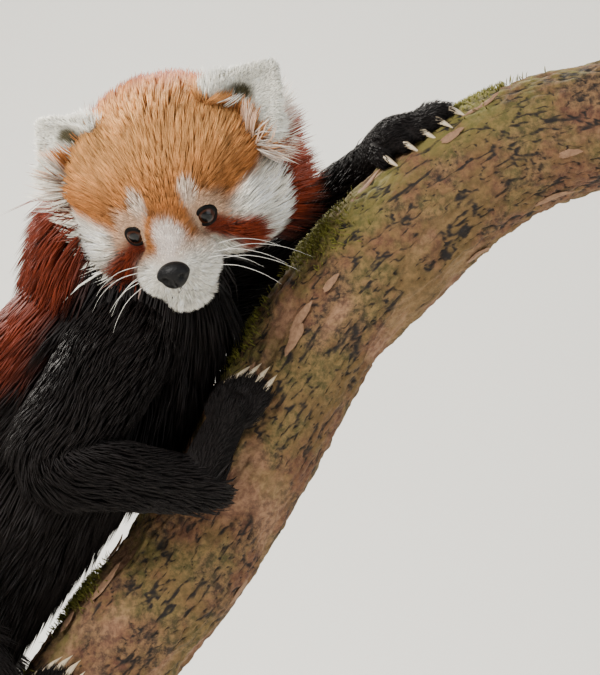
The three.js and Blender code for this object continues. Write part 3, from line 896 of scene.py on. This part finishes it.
# %% Tufts from arrays
def spike_faces(steps):
    """Corner numbers of one spike: a ring of three corners a step, then the tip."""
    faces = []
    for k in range(steps - 1):
        for a, b in ((0, 1), (1, 2), (2, 0)):
            low_a, low_b, high_a, high_b = 3 * k + a, 3 * k + b, 3 * k + 3 + a, 3 * k + 3 + b
            faces += [(low_a, high_b, low_b), (low_a, high_a, high_b)]
    last, tip = 3 * (steps - 1), 3 * steps
    faces += [(last, tip, last + 1), (last + 1, tip, last + 2), (last + 2, tip, last)]
    return np.array(faces)


def build_coat(
    name, at, normal, length, width, lift, droop, sag, steps, clump, cling, lie_noise,
    lie_here=None, contrast=1.0, tone=None,
):
    """Grow a tuft at each root. lift is the angle at the root and droop the angle of the tip above the skin,
    in degrees. sag lets the tip hang by a share of the length, and cling draws the tips in each cell of
    clump mm together."""
    count = len(at)
    values = (length, width, lift, droop)
    length, width, lift, droop = (np.broadcast_to(v, count).astype(float) for v in values)
    where, t_here, angle_here, flow, local_here = read_places(at)
    if lie_here is not None:
        flow = lie_here
    if tone is None:
        tone = coat_colours(at, where, t_here, local_here)
    flow = flow + np.stack([wobble(at, 22, k) for k in (21, 23, 25)], axis=1) * lie_noise
    flow = flow + rng.normal(size=(count, 3)) * lie_noise * 0.45
    flow = unit(flow - normal * (flow * normal).sum(axis=1)[:, None])
    length = length * (1 + 0.18 * rng.normal(size=count).clip(-1.6, 1.6))
    up1, up2 = np.radians(lift), np.radians(droop)
    p0 = at - normal * 1.2
    p1 = at + (flow * np.cos(up1)[:, None] + normal * np.sin(up1)[:, None]) * (length * 0.45)[:, None]
    p2 = at + (flow * np.cos(up2)[:, None] + normal * np.sin(up2)[:, None]) * length[:, None]
    p2[:, 2] -= sag * length
    warped = at + np.stack([wobble(at, 12, k) for k in (31, 33, 35)], axis=1) * clump * 0.45
    cell = np.floor(warped / clump).astype(int)
    _, owner = np.unique(cell, axis=0, return_inverse=True)
    owner = owner.ravel()
    members = np.bincount(owner)
    centre = np.stack([np.bincount(owner, weights=p2[:, k]) / members for k in range(3)], axis=1)[owner]
    p2 = p2 + (centre - p2) * cling
    s = np.linspace(0, 1, steps + 1)[:, None, None]
    spine = (1 - s) ** 2 * p0 + 2 * s * (1 - s) * p1 + s * s * p2
    way = unit(np.gradient(spine, axis=0))
    side = unit(np.cross(way, normal[None]))
    top = np.cross(side, way)
    taper = np.interp(s[:, 0, 0], [0, 0.3, 0.75, 1], [0.7, 1.0, 0.6, 0.0])
    rings = []
    for k in range(steps):
        w = (width * taper[k] / 2)[:, None]
        rings.append(spine[k] + side[k] * w)
        rings.append(spine[k] - side[k] * w)
        rings.append(spine[k] + top[k] * w * 0.8)
    rings.append(spine[steps])
    points = np.stack(rings, axis=1)
    faces = spike_faces(steps)
    index = (faces[None] + np.arange(count)[:, None, None] * points.shape[1]).reshape(-1, 3)
    ring_share = np.append(np.repeat(s[:-1, 0, 0], 3), 1.0)
    shade = 1 + (0.10 * rng.normal(size=count) + 0.09 * rng.normal(size=len(members))[owner]) * contrast
    # Painted shade: each tuft darkens towards its root, deep in the coat, and lightens towards its tip, less
    # so on pale coat.
    strength = contrast * (1 - 0.65 * tone.mean(axis=1))
    depth = 0.86 + (0.75 * ring_share**0.7 - 0.42)[None] * strength[:, None]
    colour = tone[:, None, :] * shade[:, None, None] * depth[:, :, None]
    root_uv = unwrap(where, t_here, angle_here)
    across = np.append(np.tile([0.0, 1.0, 0.5], steps), 0.5)
    patch = np.stack([ring_share, across], axis=1) * 0.003
    uv = (root_uv[:, None, :] + patch[None])[:, faces.ravel()].reshape(-1, 2)
    colour = np.clip(colour.reshape(-1, 3), 0, 1)
    mesh_from_arrays(name, points.reshape(-1, 3) * MM, index, colour, uv)


def mesh_from_arrays(name, points, index, colour, uv):
    mesh = bpy.data.meshes.new(name)
    mesh.vertices.add(len(points))
    mesh.vertices.foreach_set("co", points.astype(np.float32).ravel())
    mesh.loops.add(index.size)
    mesh.loops.foreach_set("vertex_index", index.astype(np.int32).ravel())
    mesh.polygons.add(len(index))
    mesh.polygons.foreach_set("loop_start", np.arange(0, index.size, 3, dtype=np.int32))
    mesh.update(calc_edges=True)
    mesh.polygons.foreach_set("use_smooth", [True] * len(index))
    set_colours(mesh, colour)
    layer = mesh.uv_layers.new(name="OFBake")
    layer.data.foreach_set("uv", uv.astype(np.float32).ravel())
    mesh.materials.append(hair.material)
    obj = new_object(name, mesh)
    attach(obj, "root")
    print(name, "triangles:", len(index))


# %% [markdown]
# Hair on the face is short and grows longer away from the nose: about 3 mm on the bridge, 12 mm on the
# forehead and over 30 mm in the ruffs that make the face look so wide.


# %% The face, the crown and the ruffs
eye_gap = np.min([np.linalg.norm(tri_local - place, axis=1) for place in EYES.values()], axis=0)
nose_gap = np.linalg.norm((tri_local - [0, -77, -13]) / [11.5, 9, 10.5], axis=1)
is_head = (tri_part == PARTS["head"]) & (eye_gap > EYE_RADIUS + 1.0) & (nose_gap > 1.0)
near = is_head & (tri_local[:, 1] < -18)
middle_band = is_head & (tri_local[:, 1] >= -18) & (tri_local[:, 1] < 22)
back_band = is_head & (tri_local[:, 1] >= 22)


def face_length(q):
    forward = smooth(-80, 25, q[:, 1])
    longer = 4 + 17 * forward
    wide = np.abs(q[:, 0])
    cheek = smooth(22, 46, wide) * smooth(40, 0, q[:, 2])
    ruff = smooth(-20, 14, q[:, 1]) * cheek
    rear = smooth(12, 34, q[:, 1]) * smooth(24, 44, wide) * smooth(36, 16, q[:, 2])
    chin = smooth(-26, -40, q[:, 2]) * smooth(-80, -30, q[:, 1])
    ear_base = blob(q * [0, 1, 1] + wide[:, None] * [1, 0, 0], (56, 18, 18), (16, 15, 10))
    eyes = np.min([np.linalg.norm(q - place, axis=1) for place in EYES.values()], axis=0)
    near_eye = smooth(22, 10, eyes)
    bridge = smooth(14, 8, wide) * smooth(-20, -10, q[:, 2]) * smooth(-30, -44, q[:, 1])
    longer = (longer + 14 * ruff + 6 * cheek + 12 * rear + 6 * chin + 8 * ear_base) * (1 - 0.74 * near_eye)
    return longer * (1 - 0.4 * bridge)


def head_tufts(name, chosen, count, width, clump, cling, steps=3):
    at, normal = roots_on(chosen, count)
    q = to_head(at)
    length = face_length(q)
    wide = np.abs(q[:, 0])
    low = smooth(36, 0, q[:, 2])
    stand = smooth(24, 52, wide) * low
    rear = smooth(6, 30, q[:, 1]) * smooth(24, 44, wide) * low
    brow = smooth(4, 20, q[:, 2]) * smooth(-60, -30, q[:, 1])
    muzzle = smooth(-40, -56, q[:, 1]) * smooth(-4, -16, q[:, 2])
    lift = 30 + 22 * stand + 20 * brow + 8 * rear + 16 * muzzle
    droop = 12 + 18 * stand + 22 * brow + 16 * rear + 22 * muzzle
    width = width * (0.55 + 0.45 * smooth(3, 20, length))
    build_coat(name, at, normal, length, width, lift, droop, 0.0, steps, clump, cling, 0.24, contrast=1.7)


head_tufts("coat_face", near, 20500, 0.7, 3.2, 0.45, 2)
head_tufts("coat_crown", middle_band, 12500, 1.0, 4.4, 0.62)
head_tufts("coat_ruff", back_band, 8500, 1.4, 6.0, 0.5)

# %% The red ruff that stands out behind the cheeks
wide = np.abs(tri_local[:, 0])
side_band = np.isin(tri_part, [PARTS["head"], PARTS["neck"]]) & (wide > 36)
side_band &= (tri_local[:, 1] > 2) & (tri_local[:, 1] < 34)
side_band &= (tri_local[:, 2] > -40) & (tri_local[:, 2] < 20)
at, normal = roots_on(side_band, 4500)
q = to_head(at)
apart = unit(np.stack([np.sign(q[:, 0]) * 0.8, np.full(len(q), 0.5), q[:, 2] / 60], axis=1)) @ HEAD_TURN.T
red = paint(np.tile(COAT["ruff"], (len(at), 1)), smooth(8, 22, q[:, 2]) * 0.8, COAT["white"])
red = paint(red, smooth(-24, -40, q[:, 2]), COAT["black"])
free_side = np.where(q[:, 0] > 0, 1.0, 0.55)
long_hair = (30 + 14 * smooth(2, 16, q[:, 1])) * free_side
rise = 56 * free_side
build_coat(
    "coat_ruff_side", at, normal, long_hair, 1.3, rise, rise, 0.1, 3, 6.0, 0.5, 0.25,
    lie_here=apart, contrast=1.6, tone=red,
)

# %% [markdown]
# The ears are furred on both sides, longer along the rim and longest at the foot.

# %% The ears
for side, ear in ears.items():
    here = tri_part == PARTS["ear_" + side]
    at, normal = roots_on(here, 6500)
    x, y, z = ear.read(to_head(at))
    rim = smooth(0.62, 0.95, np.hypot(x / 25, (y - 10) / 50))
    length = 4.5 + 3 * rim + 9 * smooth(24, 0, y)
    out_way = unit(np.outer(x / 25, ear.side) + np.outer(0.5 + y / 60, ear.axis)) @ HEAD_TURN.T
    build_coat(
        "coat_ear_" + side, at, normal, length, 0.75, 28, 14, 0.0, 2, 3.0, 0.3, 0.2, lie_here=out_way
    )

# %% [markdown]
# The long coat of the neck, back and tail is made of wider tufts that hang and overlap like thatch.

# %% The neck and the trunk
SHOULDER_HEIGHT = 585
on_trunk = tri_part == PARTS["trunk"]
upper = (tri_part == PARTS["neck"]) | (on_trunk & (tri_middle[:, 2] > SHOULDER_HEIGHT))
lower = on_trunk & (tri_middle[:, 2] <= SHOULDER_HEIGHT)
for name, chosen, count in (("coat_shoulders", upper, 11500), ("coat_flanks", lower, 11500)):
    at, normal = roots_on(chosen, count)
    chest = smooth(600, 660, at[:, 2]) * smooth(30, 60, at[:, 0])
    build_coat(name, at, normal, 38 + 16 * chest, 2.0, 36, 20, 0.06, 3, 9.0, 0.5, 0.22)

# %% The tail
at, normal = roots_on(tri_part == PARTS["tail"], 9500)
build_coat("coat_tail", at, normal, 36, 2.0, 46, 24, 0.0, 3, 8.0, 0.4, 0.22)

# %% The legs and the feet
for pair, count in (("fore", 7800), ("hind", 7800)):
    names = [name for name in legs if name.startswith(pair)]
    chosen = np.isin(tri_part, [PARTS[name] for name in names])
    at, normal = roots_on(chosen, count)
    t_here = read_places(at)[1]
    length = 24 - 12 * smooth(0.2, 0.9, t_here)
    build_coat("coat_legs_" + pair, at, normal, length, 1.6, 32, 14, 0.03, 3, 6.0, 0.4, 0.22)
    chosen = np.isin(tri_part, [PARTS["foot_" + name] for name in names])
    at, normal = roots_on(chosen, 5200)
    build_coat("coat_feet_" + pair, at, normal, 7, 0.9, 26, 12, 0.0, 2, 4.0, 0.3, 0.2)

# %% [markdown]
# ## Eyes, nose, claws and whiskers
# The eye is a wet ball: a black pupil in a very dark brown iris, under a clear coat that mirrors the lamps.


# %% Eyes
def round_piece(name, shape, segments, rings, finish):
    bm = bmesh.new()
    add_ball(bm, shape, segments, rings)
    return make_object(name, bm, finish)


for side, place in EYES.items():
    look = unit(np.array([0.32 * np.sign(place[0]), -1, 0.02]))
    centre = from_head([place])[0] * MM
    pupil = from_head([place + look * EYE_RADIUS])[0] * MM
    eye = Finish("eye_" + side)
    ends = {0: eye.place(), 1: pupil}
    gap = eye.add("ShaderNodeVectorMath", {"operation": "DISTANCE"}, ends, output="Value")
    tone = eye.mix(gap.span(0.0030, 0.0038), (0.002, 0.002, 0.002), srgb(48, 24, 12))
    tone = eye.mix(gap.span(0.0052, 0.0062), tone, srgb(10, 7, 6))
    eye.set(Base_Color=tone, Roughness=0.12, Coat_Weight=0.25, Coat_Roughness=0.02, Specular_IOR_Level=0.15)
    ball = round_piece("eyeball_" + side, lambda p, c=place: from_head(c + p * EYE_RADIUS), 40, 28, eye)
    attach(ball, "root")
    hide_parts("eye_" + side)


# %% Black lids round each eye
lid = Finish("lid")
lid.set(Base_Color=srgb(7, 5, 4), Roughness=0.55, Specular_IOR_Level=0.1)
for side, place in EYES.items():
    look = unit(np.array([0.42 * np.sign(place[0]), -1, 0.0]))
    across = unit(np.cross(look, [0, 0, 1]))
    up = np.cross(across, look)

    def lid_shape(p, place=place, look=look, across=across, up=up):
        ring = np.arctan2(p[:, 1], p[:, 0])
        tube = np.arccos(np.clip(p[:, 2], -1, 1)) / np.pi
        reach = 0.70 + 0.46 * tube
        spread = np.stack([np.cos(ring) * 1.12, np.sin(ring) * 0.86], axis=1)
        turn = reach * np.linalg.norm(spread, axis=1)
        flat = unit(spread)
        aside = across * flat[:, :1] + up * flat[:, 1:]
        ray = look * np.cos(turn)[:, None] + aside * np.sin(turn)[:, None]
        rise = EYE_RADIUS - 0.5 + 1.5 * np.sin(np.pi * tube) ** 0.6
        return from_head(place + ray * rise[:, None])

    rim = round_piece("lid_" + side, lid_shape, 48, 14, lid)
    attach(rim, "root")

# %% [markdown]
# The nose pad is wet, black and finely pebbled, with a comma-shaped nostril on each side and a groove down
# its middle.

# %% Nose
nose_skin = Finish("nose_skin")
cells = nose_skin.add("ShaderNodeTexVoronoi", None, {"Vector": nose_skin.place(), "Scale": 1100.0})
nose_skin.set(Base_Color=srgb(8, 7, 7), Roughness=0.5, Specular_IOR_Level=0.18)
nose_skin.set(Coat_Weight=0.04, Coat_Roughness=0.2)
nose_skin.bump(cells, 0.5, 0.0004)


def nose_shape(p):
    x, y, z = p.T
    wide = 10.3 * x * (1 - 0.24 * np.clip(-z, 0, 1))
    deep = 7.2 * y
    high = 9.2 * z * np.where(z > 0, 0.84, 1.0)
    pit = np.exp(-((np.abs(x) - 0.5) ** 2 / 0.03 + (z + 0.08) ** 2 / 0.045)) * (y < 0)
    wing = np.exp(-((np.abs(x) - 0.86) ** 2 / 0.03 + (z + 0.3) ** 2 / 0.05)) * (y < 0.3)
    groove = np.exp(-(x**2) / 0.006) * smooth(0.1, -0.4, z) * (y < 0)
    deep = deep + 2.6 * pit + 1.4 * wing + 1.0 * groove
    return from_head(np.stack([wide, deep - 77, high - 13], axis=1))


nose = round_piece("nose_pad", nose_shape, 96, 64, nose_skin)
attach(nose, "root")
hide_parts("nose")

# %% Mouth line
lip = Finish("lip")
lip.set(Base_Color=srgb(34, 22, 20), Roughness=0.5)
mouth_side = [(0, -79, -22), (0, -77, -27), (5, -73, -31), (9, -68, -33), (12, -62, -34)]


def close_to_head(points, outward):
    inner = np.array([0.0, -40, -18])
    return onto_head(inner, unit(np.array(points, float) - inner), 90, outward)


for flip, side in ((1, "left"), (-1, "right")):
    points = from_head(close_to_head(mouth_side, 0.6) * [flip, 1, 1])
    line = Limb([tuple(p) for p in points], [0.6, 0.6, 0.7, 0.6, 0.3])
    piece = round_piece("lip_" + side, along_limb(line), 10, 40, lip)
    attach(piece, "root")

# %% Claws: a tapered cone, bent down towards the bark
horn = Finish("claw_horn")
streak = horn.noise(260, 3)
horn_tone = horn.mix(streak, srgb(222, 206, 176), srgb(168, 146, 116))
horn.set(Base_Color=horn_tone, Roughness=0.38)
for name, (_, _, claws) in feet.items():
    bm = bmesh.new()
    for tip, way, up in claws:
        points = [tip + way * (1 + 14 * h) + up * (2.6 - 4.4 * h * h) for h in (0, 0.3, 0.6, 0.85, 1)]
        claw = Limb(points, [2.2, 2.1, 1.6, 0.9, 0.12], [2.4, 2.2, 1.7, 0.9, 0.12])
        add_ball(bm, along_limb(claw), 10, 14)
    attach(make_object("claws_" + name, bm, horn), "root")

# %% Whiskers
WHISKERS_A_SIDE = 6
whisker = Finish("whisker")
whisker.set(Base_Color=srgb(240, 236, 226), Roughness=0.4)
bm = bmesh.new()
for flip in (1, -1):
    for k in range(WHISKERS_A_SIDE):
        start = close_to_head([(17 + 1.5 * (k % 2), -62 + 3.5 * k, -15 - 6 * (k % 2))], -1)[0]
        length = 36 + 4 * k + 4 * rng.normal()
        way = unit(np.array([1.0, -0.2 + 0.12 * k, 0.1 - 0.25 * (k % 2) + 0.07 * rng.normal()]))
        bend = np.array([-0.1, 0.18, -0.6])
        points = [start + way * length * s + bend * length * s * s for s in (0, 0.35, 0.7, 1)]
        points = from_head(np.array(points) * [flip, 1, 1])
        add_ball(bm, along_limb(Limb([tuple(p) for p in points], [0.15, 0.13, 0.09, 0.03])), 6, 16)
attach(make_object("whiskers", bm, whisker, smooth_shaded=False), "root")

# %% [markdown]
# ## The branch
# Old bark is rough all over and split lengthwise into small uneven plates. A fine tube is pushed in and out
# by noise that is stretched along the branch, so the cracks and plates are real shape.


# %% Bark
def bark_height(t_mm, turn):
    """Height in mm over the plain branch, from swellings, plates with cracks between them and fine grain,
    then how whole the bark is there and how far its outer layer is shed, each from 0 to 1."""
    around = Vector((math.cos(turn), math.sin(turn), 0))
    swell = noise.noise(around * 1.4 + Vector((0, 0, t_mm / 62))) * 2.6
    q = around * 4.6 + Vector((0, 0, t_mm / 25))
    q += noise.noise_vector(q * 0.9) * 0.8 + noise.noise_vector(q * 2.7) * 0.3
    near, _ = noise.voronoi(q)
    crack = min(1.0, (near[1] - near[0]) * 4.0)
    shed = smooth(0.14, 0.36, noise.noise(around * 1.9 + Vector((3, 7, t_mm / 55))))
    rough = noise.fractal(around * 8 + Vector((0, 0, t_mm / 12)), 0.75, 2.2, 5)
    height = swell + 1.5 * crack**0.6 * (1 - 0.6 * shed) + 1.3 * rough - 1.6 * shed
    return height - 1.4, crack * (1 - shed) + shed, shed


WEATHER_SIDE = np.array([-0.66, 0.1, 0.74])
BARK_AROUND, BARK_ALONG = 200, 420
BARK_VALUES = ("crack", "shed", "upper")


def build_branch():
    bm = bmesh.new()
    tube = bmesh.ops.create_cone(bm, cap_ends=False, segments=BARK_AROUND, radius1=1, radius2=1, depth=1)
    bmesh.ops.delete(bm, geom=[v for v in tube["verts"] if v.co.z > 0], context="VERTS")
    edges = list(bm.edges)
    for _ in range(BARK_ALONG):
        edges = pull(bm, edges, (0, 0, 1 / BARK_ALONG))
    for end in (-0.5, 0.5):
        rim = [e for e in bm.edges if len(e.link_faces) == 1 and abs(e.verts[0].co.z - end) < 1e-3]
        cap = bmesh.ops.edgeloop_fill(bm, edges=rim)["faces"]
        for thickness in (0.35, 0.3):
            bmesh.ops.inset_region(bm, faces=cap, thickness=thickness, use_even_offset=False)
    layers = [bm.verts.layers.float.new(name) for name in BARK_VALUES]
    verts = list(bm.verts)
    flat = np.array([v.co for v in verts])
    t = flat[:, 2] + 0.5
    middle, _, side, out, half = branch.at(t)
    turn = np.arctan2(flat[:, 1], flat[:, 0])
    reach = np.hypot(flat[:, 0], flat[:, 1])
    for k, v in enumerate(verts):
        height, crack, shed = bark_height(t[k] * branch.length, turn[k])
        size = (half[k] + height) * min(reach[k], 1.0)
        place = middle[k] + side[k] * math.cos(turn[k]) * size[0] + out[k] * math.sin(turn[k]) * size[1]
        v.co = Vector(place * MM)
        upper = smooth(0.1, 0.9, unit(place - middle[k]) @ WEATHER_SIDE)
        for layer, value in zip(layers, (crack, shed, upper)):
            v[layer] = value
    return make_object("bark", bm)


bark = build_branch()
rough_bark = Finish("rough_bark")
FACTOR_OUTPUT = 2
crack, shed, upper = (
    rough_bark.add("ShaderNodeAttribute", {"attribute_name": name}, output=FACTOR_OUTPUT)
    for name in BARK_VALUES
)
large = rough_bark.noise(26, 5, 0.65)
fine = rough_bark.noise(230, 6, 0.7)
tone = rough_bark.mix(fine.span(0.36, 0.66), srgb(40, 27, 17), srgb(120, 90, 58))
tone = rough_bark.mix(large.span(0.44, 0.58) * 0.5, tone, srgb(104, 62, 42))
inner_bark = rough_bark.mix(fine.span(0.3, 0.7), srgb(104, 72, 52), srgb(158, 120, 92))
tone = rough_bark.mix(shed * 0.6, tone, inner_bark)
green = rough_bark.noise(21, 5, 0.65)
tone = rough_bark.mix(green.span(0.42, 0.6) * (0.28 + upper * 0.45), tone, srgb(104, 100, 40))
# Painted shade: the cracks between the plates are darkened nearly to black.
tone = rough_bark.mix(crack.span(0.45, 0.05), tone, srgb(20, 13, 9))
rough_bark.set(Base_Color=tone, Roughness=0.92)
rough_bark.bump(fine, 0.85, 0.0018)
bark.data.materials.append(rough_bark.material)
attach(bark, "root")
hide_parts("branch")
print("bark faces:", len(bark.data.polygons))

# %% [markdown]
# Moss grows in small cushions on the weather side, and a few thin flakes of bark have come loose.


# %% Moss cushions
def on_bark(t, turn, height):
    """Points on the bark, their outward directions and the way along the branch. turn 0 faces uphill."""
    middle, tangent, _, out, half = branch.at(np.atleast_1d(t))
    uphill = out * -np.sign(out[:, :1])
    toward = np.array([[0.0, -1, 0]])
    way = uphill * np.cos(turn)[:, None] + toward * np.sin(turn)[:, None]
    size = half.mean(axis=1) + height
    return middle + way * size[:, None], way, tangent


cushions = [(0.20, 0.25, 600), (0.33, 0.0, 500), (0.60, 0.05, 500), (0.70, 0.3, 700), (0.86, -0.05, 600)]
where, turns = [], []
for t_moss, turn_moss, count in cushions:
    where.append(t_moss + rng.normal(size=count) * 0.016)
    turns.append(turn_moss + rng.normal(size=count) * 0.26)
where, turns = np.clip(np.concatenate(where), 0.01, 0.99), np.concatenate(turns)
at, normal, along_branch = on_bark(where, turns, 0.5)
moss_tone = srgb(112, 110, 42) * (0.75 + 0.5 * rng.random((len(at), 1)))
moss_tone = moss_tone + srgb(40, 30, 12) * rng.random((len(at), 1))
scattered = along_branch * 0.2 + rng.normal(size=(len(at), 3))
build_coat("moss", at, normal, 4.5, 0.9, 62, 50, 0.0, 3, 2.5, 0.2, 0.3, lie_here=scattered, tone=moss_tone)

# %% Loose flakes of bark
FLAKES = 26
bm = bmesh.new()
for k in range(FLAKES):
    t_flake = 0.06 + 0.88 * (k + rng.random()) / FLAKES
    turn = rng.uniform(-0.3, 2.9)
    place, way, along_branch = (v[0] for v in on_bark(t_flake, np.array([turn]), 0.4))
    across = np.cross(along_branch, way)
    long, broad, curl = rng.uniform(7, 15), rng.uniform(2, 4), rng.uniform(0.5, 3.5)

    def flake(p, place=place, way=way, along=along_branch, across=across, size=(long, broad, curl)):
        x, y, z = p.T
        ragged = 1 + 0.1 * np.sin(3 * np.arctan2(y, x) + size[0]) + 0.07 * np.sin(7 * np.arctan2(y, x))
        lift = size[2] * np.clip(x, 0, 1) ** 2 + 0.8 * z
        flat = np.outer(x * ragged * size[0], along) + np.outer(y * ragged * size[1], across)
        return place + flat + np.outer(lift, way)

    add_ball(bm, flake, 22, 8)
flake_bark = Finish("flake_bark")
fibre = flake_bark.noise(420, 4, 0.6)
flake_tone = flake_bark.mix(fibre, srgb(76, 50, 34), srgb(158, 122, 92))
flake_bark.set(Base_Color=flake_tone, Roughness=0.9)
flake_bark.bump(fibre, 0.6, 0.0008)
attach(make_object("bark_flakes", bm, flake_bark, smooth_shaded=False), "root")

# %% [markdown]
# ## The stand
# A plain painted plate and a brushed steel rod come from the frame as they are and only need a finish.

# %% Stand finishes
plate_paint = Finish("plate_paint")
speckle = plate_paint.noise(900, 2)
plate_tone = plate_paint.mix(speckle, srgb(150, 147, 141), srgb(138, 135, 129))
plate_paint.set(Base_Color=plate_tone, Roughness=0.55)
plate_paint.bump(speckle, 0.15, 0.0003)
steel = Finish("stand_steel")
stretched = steel.add("ShaderNodeMapping", None, {"Vector": steel.place(), "Scale": (900.0, 900.0, 12.0)})
grain = steel.noise(1.0, 3, 0.6, stretched)
steel.set(Base_Color=srgb(190, 190, 192), Metallic=1.0, Roughness=0.24 + grain * 0.2)
for name, finish in (("stand_base", plate_paint), ("stand_rod", steel)):
    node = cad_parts[name]
    node.data.materials.clear()
    node.data.materials.append(finish.material)

# %% [markdown]
# ## Hand over
# The skin stands for every node of flesh, so those nodes are no longer shown.

# %% What stands for what
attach(skin, "root")
not_flesh = ("stand_", "eye_", "nose", "branch")
flesh = [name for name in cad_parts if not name.startswith(not_flesh)]
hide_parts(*flesh)
